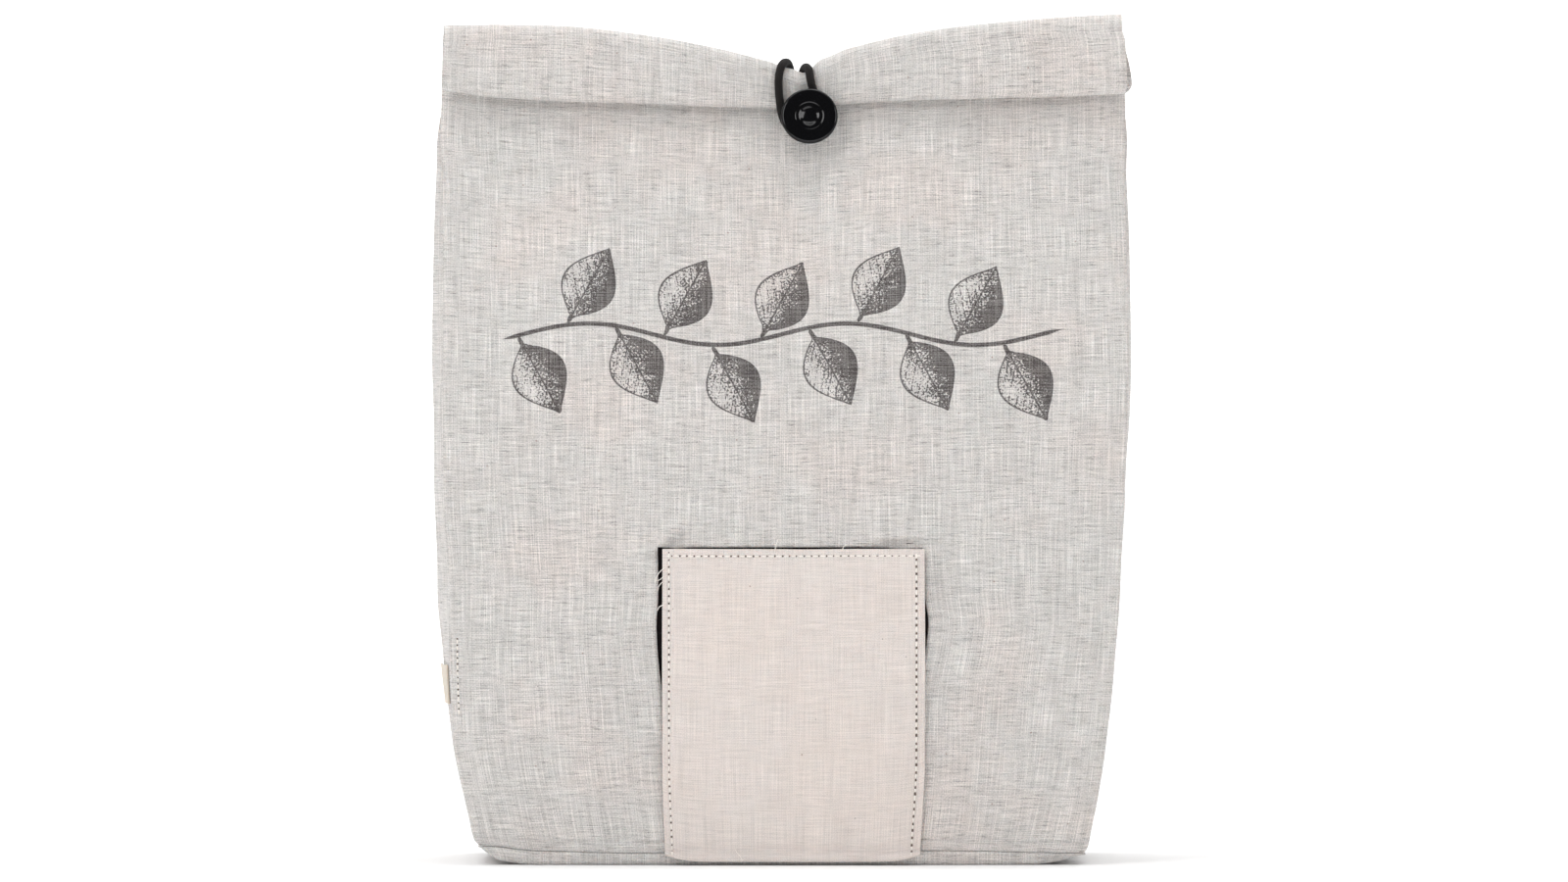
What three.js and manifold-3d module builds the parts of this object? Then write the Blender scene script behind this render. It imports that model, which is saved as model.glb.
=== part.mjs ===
// A linen-cotton storage bag for potatoes, standing on its base. A front and a back panel, two
// side gussets and a base are sewn into a soft upright bag. The mouth is pressed flat and rolled
// forward, and an elastic loop comes over the roll from the back and hooks round a button. Near
// the floor a cream flap covers a hatch with a black lining, where the oldest potatoes come out.
// Millimetres. +Z is up, the front faces -Y, and the origin is on the floor under the base.

import * as THREE from "three";
import { mergeVertices } from "three/addons/utils/BufferGeometryUtils.js";
import Module from "manifold-3d";

const wasm = await Module();
wasm.setup();

// Driving sizes of the bag
const bagWidth = 260;
const bagDepth = 100;
const neckHeight = 281;
const baseRise = 5;
const baseRound = 8;
const cloth = 1.2;
const foldGap = 0.3;
const seamGap = 0.3;

// Driving sizes of the roll. The elastic presses its wraps together near the button.
const rollHeight = 36;
const wrapGap = 1.3;
const pinchGap = 0.3;
const pinchReach = 34;
const mouthGap = 2;
const neckDrop = 0.5;

// Driving sizes of the hatch
const flapWidth = 97.4;
const flapTop = 117.2;
const flapAcross = 4.4;
const flapTaper = 1.6;
const flapFoot = 0.8;
const flapCornerLift = 2.4;
const flapThickness = 2;
const flapGap = 0.5;
const hatchReveal = 2.2;
const hatchTopReveal = 0.9;
const hatchSill = 9;
const liningThickness = 1;
const liningGap = 0.5;
const liningOverlap = 12;
const liningLip = 9;
const fastenerHeight = 14;
const fastenerInset = 6;
const fastenerMargin = 2;

// Driving sizes of the closure
const buttonDiameter = 20.8;
const buttonThickness = 3.2;
const buttonTilt = 14;
const buttonAcross = 10.4;
const buttonDrop = 2.9;
const stemDiameter = 6;
const cordDiameter = 3.1;
const cordGap = 0.5;
const patchWidth = 22;
const patchHeight = 14;
const patchThickness = 2.4;
const patchAcross = 6;
const patchDrop = 17;
const patchSpread = 5;

// Driving sizes of the side label
const labelHeight = 14.5;
const labelMiddle = 67;
const labelThickness = 1;
const labelReach = { front: -0.95, back: -0.4 };

const halfWidth = bagWidth / 2;
const halfDepth = bagDepth / 2;
const neckDepth = cloth + foldGap / 2;
const rollPitch = 2 * neckDepth + wrapGap;
const pinchPitch = 2 * neckDepth + pinchGap;
const cordRadius = cordDiameter / 2;

// One row for each level of the body, from the base seam up to the neck. rise is a share of
// that height. left and right are the side seams, as shares of half the width. seam, front and
// back are depths at the side seams and in the middle of each panel, as shares of half the
// depth. puffL and puffR say how far each gusset swells past its seams, in those shares.
const sections = [
  { rise: 0, left: 0.862, right: 0.862, seam: 0.92, front: 0.96, back: 0.96, puffL: 0.03, puffR: 0.02 },
  { rise: 0.06, left: 0.897, right: 0.898, seam: 0.95, front: 1.01, back: 1.0, puffL: 0.026, puffR: 0.02 },
  { rise: 0.15, left: 0.933, right: 0.923, seam: 0.97, front: 1.04, back: 1.04, puffL: 0.03, puffR: 0.02 },
  { rise: 0.25, left: 0.941, right: 0.941, seam: 0.96, front: 1.05, back: 1.06, puffL: 0.08, puffR: 0.024 },
  { rise: 0.35, left: 0.943, right: 0.957, seam: 0.93, front: 1.04, back: 1.05, puffL: 0.12, puffR: 0.026 },
  { rise: 0.5, left: 0.963, right: 0.972, seam: 0.84, front: 0.96, back: 0.95, puffL: 0.108, puffR: 0.03 },
  { rise: 0.65, left: 0.965, right: 0.986, seam: 0.67, front: 0.8, back: 0.78, puffL: 0.128, puffR: 0.04 },
  { rise: 0.8, left: 0.969, right: 0.983, seam: 0.42, front: 0.53, back: 0.51, puffL: 0.105, puffR: 0.04 },
  { rise: 0.92, left: 0.973, right: 0.978, seam: 0.18, front: 0.235, back: 0.225, puffL: 0.055, puffR: 0.027 },
  { rise: 0.97, left: 0.972, right: 0.978, seam: 0.07, front: 0.095, back: 0.09, puffL: 0.02, puffR: 0.014 },
  { rise: 1, left: 0.971, right: 0.978, seam: 0, front: 0, back: 0, puffL: 0.01, puffR: 0.01 },
];
const crownPower = 2.4;
const puffPower = 4;

// The gussets keep their width of cloth, so where the panels close above them they fold inwards.
// The fold starts at one share of the body's height and is full at another. It takes up the
// middle of the gusset, to a share of its half width, and the power rounds its mouth.
const foldStart = 0.3;
const foldFull = 0.68;
const foldMouth = 0.74;
const foldPower = 1.4;

// One row for each broad dent of the front cloth. across is a share of half the width, rise a
// share of the body's height, wide and tall the dent's reach in those shares, and deep a share of
// half the depth. A negative depth is a swell.
const dents = [
  { across: 0.33, rise: 0.45, wide: 0.24, tall: 0.05, deep: 0.03 },
  { across: -0.4, rise: 0.46, wide: 0.16, tall: 0.05, deep: 0.024 },
  { across: 0.56, rise: 0.3, wide: 0.12, tall: 0.16, deep: 0.028 },
  { across: 0.08, rise: 0.9, wide: 0.22, tall: 0.07, deep: 0.02 },
  { across: -0.62, rise: 0.2, wide: 0.16, tall: 0.1, deep: -0.03 },
  { across: 0.72, rise: 0.62, wide: 0.18, tall: 0.14, deep: 0.025 },
];

// One row for each place across the roll. across is a share of half the width. top and foot are
// the roll's upper and lower edge over the neck, as shares of the roll's height.
const rollEdges = [
  { across: -0.97, top: 0.886, foot: 0.194 },
  { across: -0.85, top: 0.886, foot: 0.139 },
  { across: -0.67, top: 0.878, foot: 0.094 },
  { across: -0.4, top: 0.785, foot: 0.061 },
  { across: -0.2, top: 0.653, foot: 0.035 },
  { across: -0.06, top: 0.53, foot: 0.026 },
  { across: 0.05, top: 0.42, foot: 0.022 },
  { across: 0.115, top: 0.52, foot: 0.042 },
  { across: 0.2, top: 0.645, foot: 0.067 },
  { across: 0.4, top: 0.81, foot: 0.1 },
  { across: 0.6, top: 0.908, foot: 0.117 },
  { across: 0.8, top: 0.967, foot: 0.139 },
  { across: 0.98, top: 1, foot: 0.164 },
];

// One row for each leg of the roll: 0 to 1 rises from the neck, 1 to 2 turns over the top, 2 to 3
// falls down the front, 3 to 4 turns under, and 4 to 5 rises inside to the mouth. left and right
// are the ends of the cloth there, as shares of half the width: the wraps have slipped sideways.
const rollEnds = [
  { leg: 0, left: 0.971, right: 0.978 },
  { leg: 1, left: 0.968, right: 0.975 },
  { leg: 2, left: 0.963, right: 0.972 },
  { leg: 3, left: 0.971, right: 0.991 },
  { leg: 4, left: 0.962, right: 1.006 },
  { leg: 5, left: 0.958, right: 0.985 },
];

// One row for each level of the hatch, from its sill to the flap's top. left and right say how
// far the cut shows past the flap's edges, as shares of the widest gap. It hides where negative.
const hatchEdges = [
  { rise: 0, left: -1.6, right: -1.8 },
  { rise: 0.45, left: -0.6, right: -1.3 },
  { rise: 0.56, left: 0.15, right: -0.8 },
  { rise: 0.66, left: 0.8, right: 0.4 },
  { rise: 0.75, left: 1, right: 0.55 },
  { rise: 0.84, left: 0.8, right: -0.2 },
  { rise: 1, left: 0.75, right: -0.4 },
];

// One row for each place of the elastic on the roll, by its leg. left and right are the two
// strands, from the button's middle, as shares of the button's radius.
const strands = [
  { leg: 0.9, left: -0.62, right: -0.3 },
  { leg: 1.25, left: -0.74, right: -0.3 },
  { leg: 1.5, left: -0.86, right: -0.22 },
  { leg: 1.75, left: -1.0, right: -0.08 },
  { leg: 2.05, left: -1.08, right: 0.04 },
  { leg: 2.6, left: -1.08, right: 0.13 },
  { leg: 3, left: -1.05, right: 0.22 },
];

// The elastic round the stem: places from the stem's middle, as shares of the bend's radius
const hook = [
  { across: -2.0, up: 0.32 },
  { across: -1.45, up: -0.62 },
  { across: -0.72, up: -1.02 },
  { across: 0.1, up: -1.1 },
  { across: 0.84, up: -0.76 },
  { across: 1.1, up: 0.1 },
  { across: 0.85, up: 1.05 },
];

// The button's half section: from its middle as shares of its radius, up from its back as shares
// of its thickness
const buttonProfile = [
  { out: 0, up: 0.8 },
  { out: 0.2, up: 0.77 },
  { out: 0.38, up: 0.66 },
  { out: 0.52, up: 0.52 },
  { out: 0.64, up: 0.55 },
  { out: 0.74, up: 0.78 },
  { out: 0.83, up: 0.97 },
  { out: 0.91, up: 0.98 },
  { out: 0.98, up: 0.76 },
  { out: 1, up: 0.48 },
  { out: 0.96, up: 0.18 },
  { out: 0.86, up: 0 },
];

// Where the cloth has a row or a column of facets
const bodyRows = [
  0, 0.03, 0.08, 0.15, 0.23, 0.31, 0.38, 0.415, 0.45, 0.49, 0.55, 0.63, 0.72, 0.81, 0.88, 0.93, 0.965,
  0.985, 1,
];
const rollRows = [0.5, 1, 1.17, 1.33, 1.5, 1.67, 1.83, 2, 2.5, 3, 3.25, 3.5, 3.75, 4, 4.5, 5];
const panelColumns = [
  -1, -0.96, -0.85, -0.72, -0.58, -0.45, -0.32, -0.2, -0.1, -0.03, 0.01, 0.05, 0.085, 0.12, 0.17, 0.25,
  0.34, 0.46, 0.6, 0.75, 0.88, 0.96, 1,
];
const gussetColumns = [-1, -0.88, -0.74, -0.55, -0.35, -0.15, 0, 0.15, 0.35, 0.55, 0.74, 0.88, 1];
const gussetRows = [0, 0.07, 0.15, 0.23, 0.31, 0.39, 0.47, 0.55, 0.63, 0.71, 0.79, 0.86, 0.92, 0.95, 0.97];
const baseRings = 3;
const baseAcross = 8;
const baseDeep = 4;
const flapGrid = [12, 10];
const liningGrid = [10, 9];
const fastenerGrid = [10, 2];
const patchGrid = [4, 3];
const labelGrid = [5, 3];
const buttonSides = 28;
const cordSides = 8;
const cordSteps = 60;

const finish = (color, roughness) => new THREE.MeshStandardMaterial({ color, roughness, metalness: 0 });
const linen = finish(0xd2cdca, 0.92);
const creamCotton = finish(0xdfd6d1, 0.9);
const blackCotton = finish(0x1a1618, 0.95);
const beigeTape = finish(0xcfc7ba, 0.9);
const blackPlastic = finish(0x0a0a0c, 0.15);
const blackElastic = finish(0x151213, 0.85);

const { lerp, clamp, degToRad } = THREE.MathUtils;

// The value of a table's column between two rows, on a smooth curve that never overshoots them
function valueAt(table, along, name, at) {
  const last = table.length - 1;
  const slope = (i) => (table[i + 1][name] - table[i][name]) / (table[i + 1][along] - table[i][along]);
  const tangent = (i) => {
    if (i === 0 || i === last) return slope(Math.min(i, last - 1));
    const [before, after] = [slope(i - 1), slope(i)];
    return before * after <= 0 ? 0 : (2 * before * after) / (before + after);
  };
  const place = clamp(at, table[0][along], table[last][along]);
  const above = table.findIndex((row) => row[along] >= place);
  const i = Math.max(0, above - 1);
  const width = table[i + 1][along] - table[i][along];
  const t = (place - table[i][along]) / width;
  return (
    (2 * t ** 3 - 3 * t ** 2 + 1) * table[i][name] +
    (t ** 3 - 2 * t ** 2 + t) * width * tangent(i) +
    (3 * t ** 2 - 2 * t ** 3) * table[i + 1][name] +
    (t ** 3 - t ** 2) * width * tangent(i + 1)
  );
}

// Height of the roll's upper edge, its lower edge and the neck under it, at a place across
const topZ = (x) => neckHeight + rollHeight * valueAt(rollEdges, "across", "top", x / halfWidth);
const footZ = (x) => neckHeight + rollHeight * valueAt(rollEdges, "across", "foot", x / halfWidth);
const neckZ = (x) => footZ(x) - neckDrop;
const riseAt = (x, z) => clamp((z - baseRise) / (neckZ(x) - baseRise), 0, 1);

// Side seam of the body: side is -1 at the left and 1 at the right
const seamX = (side, rise) => side * halfWidth * valueAt(sections, "rise", side < 0 ? "left" : "right", rise);

// Depth of the body at a level, which ends in two cloths lying together at the neck
const depthAt = (name, rise) => lerp(neckDepth, halfDepth, valueAt(sections, "rise", name, rise));

// How deep the dents of the front cloth go at a place
function dentDepth(across, rise) {
  const depth = (dent) => {
    const away = ((across - dent.across) / dent.wide) ** 2 + ((rise - dent.rise) / dent.tall) ** 2;
    return dent.deep * halfDepth * Math.exp(-away);
  };
  return dents.reduce((sum, dent) => sum + depth(dent), 0);
}

// Outer face of the front panel (face -1) or the back panel (face 1), as a depth along Y
function panelY(face, x, z) {
  const rise = riseAt(x, z);
  const left = seamX(-1, rise);
  const right = seamX(1, rise);
  const across = clamp((2 * x - left - right) / (right - left), -1, 1);
  const crown = 1 - Math.abs(across) ** crownPower;
  const plain = lerp(depthAt("seam", rise), depthAt(face < 0 ? "front" : "back", rise), crown);
  // Dents fade out towards the seams, the base and the neck
  const fade = crown * (1 - (2 * rise - 1) ** 8);
  return face * (face < 0 ? plain - fade * dentDepth(across, rise) : plain);
}

// A point a given distance inside that outer face, measured square to the cloth
function insidePanel(face, x, z, inward) {
  const step = 0.5;
  const slopeX = (panelY(face, x + step, z) - panelY(face, x - step, z)) / (2 * step);
  const slopeZ = (panelY(face, x, z + step) - panelY(face, x, z - step)) / (2 * step);
  const outward = new THREE.Vector3(-slopeX, 1, -slopeZ).multiplyScalar(face).normalize();
  return new THREE.Vector3(x, panelY(face, x, z), z).addScaledVector(outward, -inward);
}

// Spacing of the wraps at a place across
function pitchAt(x) {
  const away = (x - buttonAcross) / pinchReach;
  return lerp(rollPitch, pinchPitch, Math.exp(-away * away));
}

// Middle of the two cloths that lie together in the roll, with the way out of the roll
function rollPath(x, leg) {
  const pitch = pitchAt(x);
  const heelRadius = pitch / 2;
  const crest = topZ(x) - neckDepth - pitch;
  const heel = footZ(x) + neckDepth + heelRadius;
  if (leg <= 1) return { y: 0, z: lerp(neckZ(x), crest, leg), outY: 1, outZ: 0 };
  if (leg <= 2) {
    const turn = (leg - 1) * Math.PI;
    const [outY, outZ] = [Math.cos(turn), Math.sin(turn)];
    return { y: pitch * (outY - 1), z: crest + pitch * outZ, outY, outZ };
  }
  if (leg <= 3) return { y: -2 * pitch, z: lerp(crest, heel, leg - 2), outY: -1, outZ: 0 };
  if (leg <= 4) {
    const turn = (leg - 3) * Math.PI;
    const [outY, outZ] = [-Math.cos(turn), -Math.sin(turn)];
    return { y: heelRadius * (outY - 3), z: heel + heelRadius * outZ, outY, outZ };
  }
  return { y: -pitch, z: lerp(heel, crest - mouthGap, leg - 4), outY: 1, outZ: 0 };
}

// A point off the middle of the roll's cloths
function onRoll(x, leg, off) {
  const path = rollPath(x, leg);
  return new THREE.Vector3(x, path.y + off * path.outY, path.z + off * path.outZ);
}

// A thin closed box whose facets go to a place given by column, row and side. Side 0 is the
// outer face, and seen from outside the columns run to the right and the rows run up.
function bentSheet(columns, rows, place) {
  const sheet = new THREE.BoxGeometry(1, 1, 1, columns, rows, 1);
  const position = sheet.getAttribute("position");
  for (let i = 0; i < position.count; i++) {
    const column = Math.round((position.getX(i) + 0.5) * columns);
    const row = Math.round((position.getY(i) + 0.5) * rows);
    const side = Math.round(0.5 - position.getZ(i));
    position.setXYZ(i, ...place(column, row, side).toArray());
  }
  return sheet;
}

// A closed geometry as a solid that can be joined and cut
function solidOf(geometry) {
  const bare = geometry.clone();
  bare.deleteAttribute("normal");
  bare.deleteAttribute("uv");
  const merged = mergeVertices(bare, 1e-4);
  return new wasm.Manifold(
    new wasm.Mesh({
      numProp: 3,
      vertProperties: new Float32Array(merged.getAttribute("position").array),
      triVerts: new Uint32Array(merged.index.array),
    }),
  );
}

// A solid back as a geometry
function geometryOf(solid) {
  const mesh = solid.getMesh();
  return new THREE.BufferGeometry()
    .setAttribute("position", new THREE.BufferAttribute(new Float32Array(mesh.vertProperties), 3))
    .setIndex(new THREE.BufferAttribute(new Uint32Array(mesh.triVerts), 1));
}

// A straight cutter through the front of the bag, from an outline of X and Z
function frontCutter(outline) {
  const shape = new THREE.Shape(outline.map(([x, z]) => new THREE.Vector2(x, z)));
  const cutter = new THREE.ExtrudeGeometry(shape, { depth: bagDepth, bevelEnabled: false });
  return solidOf(cutter.rotateX(Math.PI / 2));
}

// The cloth of one panel: up the body, and then along every leg of the roll
function panelCloth(face) {
  const columns = panelColumns.length - 1;
  const rows = bodyRows.length + rollRows.length - 1;
  const inRoll = face < 0 ? [-neckDepth, -foldGap / 2] : [neckDepth, foldGap / 2];
  return bentSheet(columns, rows, (column, row, side) => {
    const share = (1 + panelColumns[face < 0 ? column : columns - column]) / 2;
    if (row < bodyRows.length) {
      const rise = bodyRows[row];
      const x = lerp(seamX(-1, rise), seamX(1, rise), share);
      return insidePanel(face, x, lerp(baseRise, neckZ(x), rise), side * cloth);
    }
    const leg = rollRows[row - bodyRows.length];
    const left = -halfWidth * valueAt(rollEnds, "leg", "left", leg);
    const right = halfWidth * valueAt(rollEnds, "leg", "right", leg);
    return onRoll(lerp(left, right, share), leg, inRoll[side]);
  });
}

// The flap's left (side -1) or right (side 1) edge at a height
const flapX = (side, z) => flapAcross + side * (flapWidth / 2 - (flapTaper / 2) * (1 - z / flapTop));

// The cut edge of the hatch at a height
function hatchX(side, z) {
  const rise = clamp((z - hatchSill) / (flapTop - hatchSill), 0, 1);
  const shown = valueAt(hatchEdges, "rise", side < 0 ? "left" : "right", rise);
  return flapX(side, z) + side * hatchReveal * shown;
}
const hatchTop = flapTop + hatchTopReveal;

// The outline of the hatch, round from its left foot
function hatchOutline() {
  const heights = hatchEdges.map((row) => lerp(hatchSill, flapTop, row.rise));
  const levels = [...heights.slice(0, -1), hatchTop];
  return [...levels.map((z) => [hatchX(-1, z), z]), ...levels.reverse().map((z) => [hatchX(1, z), z])];
}

// The front panel, with the hatch cut through it
function frontPanel() {
  return geometryOf(solidOf(panelCloth(-1)).subtract(frontCutter(hatchOutline())));
}

// A flat piece laid against a panel, between two distances inside its outer face
function patchOn(face, [columns, rows], placeAt, outer, inner) {
  return bentSheet(columns, rows, (column, row, side) => {
    const { x, z } = placeAt(face < 0 ? column / columns : 1 - column / columns, row / rows);
    return insidePanel(face, x, z, side ? inner : outer);
  });
}

// The black lining round the hatch, behind the front panel, with a lip that shows in the gap
function hatchLining() {
  const left = hatchX(-1, flapTop);
  const right = hatchX(1, flapTop);
  const foot = baseRise + seamGap;
  const place = (u, v) => ({
    x: lerp(left - liningOverlap, right + liningOverlap, u),
    z: lerp(foot, hatchTop + liningOverlap, v),
  });
  const outer = cloth + liningGap;
  const sheet = patchOn(-1, liningGrid, place, outer, outer + liningThickness);
  const lipTop = hatchTop - fastenerHeight - 2 * fastenerMargin;
  const inside = [
    [hatchX(-1, hatchSill) + liningLip, hatchSill + liningLip],
    [hatchX(-1, hatchSill) + liningLip, lipTop],
    [hatchX(1, hatchSill) - liningLip, lipTop],
    [hatchX(1, hatchSill) - liningLip, hatchSill + liningLip],
  ];
  return geometryOf(solidOf(sheet).subtract(frontCutter(inside)));
}

// The cream flap, hanging in front of the hatch down over the base seam
function hatchFlap() {
  const place = (u, v) => {
    const foot = flapFoot + flapCornerLift * (2 * u - 1) ** 4;
    const z = lerp(foot, flapTop, v);
    return { x: lerp(flapX(-1, z), flapX(1, z), u), z };
  };
  return patchOn(-1, flapGrid, place, -flapGap - flapThickness, -flapGap);
}

// The hidden hook-and-loop strip between the lining's lip and the flap
function hatchFastener() {
  const left = hatchX(-1, flapTop) + fastenerInset;
  const right = hatchX(1, flapTop) - fastenerInset;
  const foot = hatchTop - fastenerMargin - fastenerHeight;
  const place = (u, v) => ({ x: lerp(left, right, u), z: lerp(foot, hatchTop - fastenerMargin, v) });
  return patchOn(-1, fastenerGrid, place, seamGap - flapGap, cloth);
}

// How far the gusset folds in at a level, whose half width of cloth spans less than it measures
function foldDepth(rise, span) {
  const clothWidth = Math.max(...sections.map((row) => depthAt("seam", row.rise))) - cloth - seamGap;
  const fold = Math.sqrt(Math.max(0, clothWidth ** 2 - span ** 2));
  return fold * THREE.MathUtils.smoothstep(rise, foldStart, foldFull);
}

// A point on a gusset's outer face, at a share of its width from the front (-1) to the back (1)
function gussetPoint(side, share, rise) {
  const seam = seamX(side, rise);
  const z = lerp(baseRise, neckZ(seam), rise);
  const [front, back] = [-1, 1].map((face) => insidePanel(face, seam, z, cloth + seamGap));
  const point = front.clone().lerp(back, (share + 1) / 2);
  const puff = halfDepth * valueAt(sections, "rise", side < 0 ? "puffL" : "puffR", rise);
  const swell = puff * (1 - Math.abs(share) ** puffPower);
  const inFold = Math.max(0, 1 - Math.abs(share) / foldMouth) ** foldPower;
  const fold = foldDepth(rise, (back.y - front.y) / 2) * inFold;
  point.x = seam + side * (swell - fold);
  return point;
}

// One side gusset, between the two panels, from the base seam to just under the neck
function gusset(side) {
  const slope = (share, rise) => {
    const step = 0.01;
    return gussetPoint(side, share + step, rise).sub(gussetPoint(side, share - step, rise));
  };
  return bentSheet(gussetColumns.length - 1, gussetRows.length - 1, (column, row, layer) => {
    const share = side * gussetColumns[column];
    const rise = gussetRows[row];
    const along = slope(share, rise);
    const inward = new THREE.Vector3(along.y, -along.x, 0).multiplyScalar(-side).normalize();
    return gussetPoint(side, share, rise).addScaledVector(inward, layer * cloth);
  });
}

// The base: a shallow tray with a flat underside, its edge turned up to the seam
function basePanel() {
  const wall = baseRise - seamGap;
  const turn = (ring) => ((ring / baseRings) * Math.PI) / 2;
  const inset = (ring, layer) => baseRound - (baseRound - layer * cloth) * Math.cos(turn(ring));
  const height = (ring, layer) => wall - (wall - layer * cloth) * Math.sin(turn(ring));
  // A place along one side of the grid: its ring from the nearer edge, and its share of the middle
  const along = (index, middle) => {
    const ring = Math.min(baseRings, index, middle + 2 * baseRings - index);
    return { ring, share: clamp((index - baseRings) / middle, 0, 1) };
  };
  const puff = (share, name) => halfDepth * sections[0][name] * (1 - Math.abs(share) ** puffPower);
  return bentSheet(baseAcross + 2 * baseRings, baseDeep + 2 * baseRings, (column, row, layer) => {
    const u = along(column, baseAcross);
    const v = along(row, baseDeep);
    const deep = 2 * v.share - 1;
    const left = seamX(-1, 0) - puff(deep, "puffL") + inset(u.ring, layer);
    const right = seamX(1, 0) + puff(deep, "puffR") - inset(u.ring, layer);
    const x = lerp(left, right, u.share);
    // Seen from below, the rows run from the back to the front
    const back = panelY(1, x, baseRise) - inset(v.ring, layer);
    const front = panelY(-1, x, baseRise) + inset(v.ring, layer);
    return new THREE.Vector3(x, lerp(back, front, v.share), height(Math.min(u.ring, v.ring), layer));
  });
}

// The button faces forward and a little up. The elastic passes between it and the roll.
const buttonRadius = buttonDiameter / 2;
const buttonFacing = new THREE.Vector3(0, -Math.cos(degToRad(buttonTilt)), Math.sin(degToRad(buttonTilt)));
const strandOff = neckDepth + cordGap + cordRadius;
const strandY = -2 * pitchAt(buttonAcross) - strandOff;
const buttonBack = new THREE.Vector3(
  buttonAcross,
  strandY - cordRadius - cordGap - buttonRadius * Math.sin(degToRad(buttonTilt)),
  neckHeight - buttonDrop,
);

// How far the stem reaches from the button's back to the front panel
function stemLength() {
  const clearAt = (length) => {
    const end = buttonBack.clone().addScaledVector(buttonFacing, -length);
    const low = end.clone().add(new THREE.Vector3(0, 0, -stemDiameter / 2));
    return Math.min(panelY(-1, end.x, end.z) - end.y, panelY(-1, low.x, low.z) - low.y) - seamGap;
  };
  let [short, long] = [0, halfDepth];
  for (let i = 0; i < 30; i++) {
    const middle = (short + long) / 2;
    if (clearAt(middle) > 0) short = middle;
    else long = middle;
  }
  return short;
}

function closureButton() {
  const length = stemLength();
  const face = buttonProfile.map(({ out, up }) => [out * buttonRadius, up * buttonThickness]);
  const stem = [[stemDiameter / 2, 0], [stemDiameter / 2, -length], [0, -length]];
  const profile = [...face, ...stem].map(([out, up]) => new THREE.Vector2(out, up));
  return new THREE.LatheGeometry(profile.reverse(), buttonSides);
}

// The elastic's route: from the patch over the roll, round the stem and back beside itself
function elasticPoints() {
  const patchTop = neckHeight - patchDrop;
  const fromPatch = (side) =>
    [seamGap, seamGap + cordDiameter].map((up) =>
      insidePanel(1, patchAcross + (side * patchSpread) / 2, patchTop + up, -cordGap - cordRadius),
    );
  const overRoll = (name) =>
    strands.map((row) => onRoll(buttonAcross + row[name] * buttonRadius, row.leg, strandOff));
  const bend = stemDiameter / 2 + cordGap + cordRadius;
  const down = (buttonBack.y - strandY) * Math.tan(degToRad(buttonTilt));
  const round = hook.map(({ across, up }) =>
    new THREE.Vector3(buttonAcross + across * bend, strandY, buttonBack.z + down + up * bend),
  );
  const up = [...fromPatch(-1), ...overRoll("left")];
  const back = [...fromPatch(1), ...overRoll("right")].reverse();
  return [...up, ...round, ...back];
}

function elasticLoop() {
  const route = new THREE.CatmullRomCurve3(elasticPoints(), false, "centripetal");
  const corner = (i) => {
    const angle = (2 * Math.PI * i) / cordSides;
    return new THREE.Vector2(cordRadius * Math.cos(angle), cordRadius * Math.sin(angle));
  };
  const section = new THREE.Shape(Array.from({ length: cordSides }, (_, i) => corner(i)));
  return new THREE.ExtrudeGeometry(section, { steps: cordSteps, extrudePath: route });
}

// The cloth patch on the back that holds both ends of the elastic
function loopPatch() {
  const top = neckHeight - patchDrop;
  const place = (u, v) => ({ x: patchAcross + (u - 0.5) * patchWidth, z: top + (v - 1) * patchHeight });
  return patchOn(1, patchGrid, place, -seamGap - patchThickness, -seamGap);
}

// The label's tape, sewn in the left front seam and folded back along the gusset
function sideLabel() {
  const [columns, rows] = labelGrid;
  return bentSheet(columns, rows, (column, row, layer) => {
    const z = labelMiddle + labelHeight * (row / rows - 0.5);
    const rise = riseAt(seamX(-1, 0), z);
    const point = gussetPoint(-1, lerp(labelReach.back, labelReach.front, column / columns), rise);
    point.x -= seamGap + (1 - layer) * labelThickness;
    return point.setZ(z);
  });
}

function piece(name, geometry, material) {
  const mesh = new THREE.Mesh(geometry, material);
  mesh.name = name;
  return mesh;
}

const button = piece("closure_button", closureButton(), blackPlastic);
button.position.copy(buttonBack);
button.quaternion.setFromUnitVectors(new THREE.Vector3(0, 1, 0), buttonFacing);

const group = new THREE.Group();
group.add(
  piece("front_panel", frontPanel(), linen),
  piece("back_panel", panelCloth(1), linen),
  piece("left_gusset", gusset(-1), linen),
  piece("right_gusset", gusset(1), linen),
  piece("base_panel", basePanel(), linen),
  piece("hatch_lining", hatchLining(), blackCotton),
  piece("hatch_flap", hatchFlap(), creamCotton),
  piece("hatch_fastener", hatchFastener(), blackCotton),
  button,
  piece("elastic_loop", elasticLoop(), blackElastic),
  piece("loop_patch", loopPatch(), linen),
  piece("side_label", sideLabel(), beigeTape),
);

export default group;
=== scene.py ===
# %% [markdown]
# # A linen-cotton storage bag, dressed in Blender
# The bag stands on its base, with its mouth rolled forward and held by a black elastic on a
# button. A cream flap covers a hatch near the floor. The frame already holds every piece at its
# real size. This lesson gives each one a finer surface, a real finish and its small details.

# %% Load the frame
import math

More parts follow.
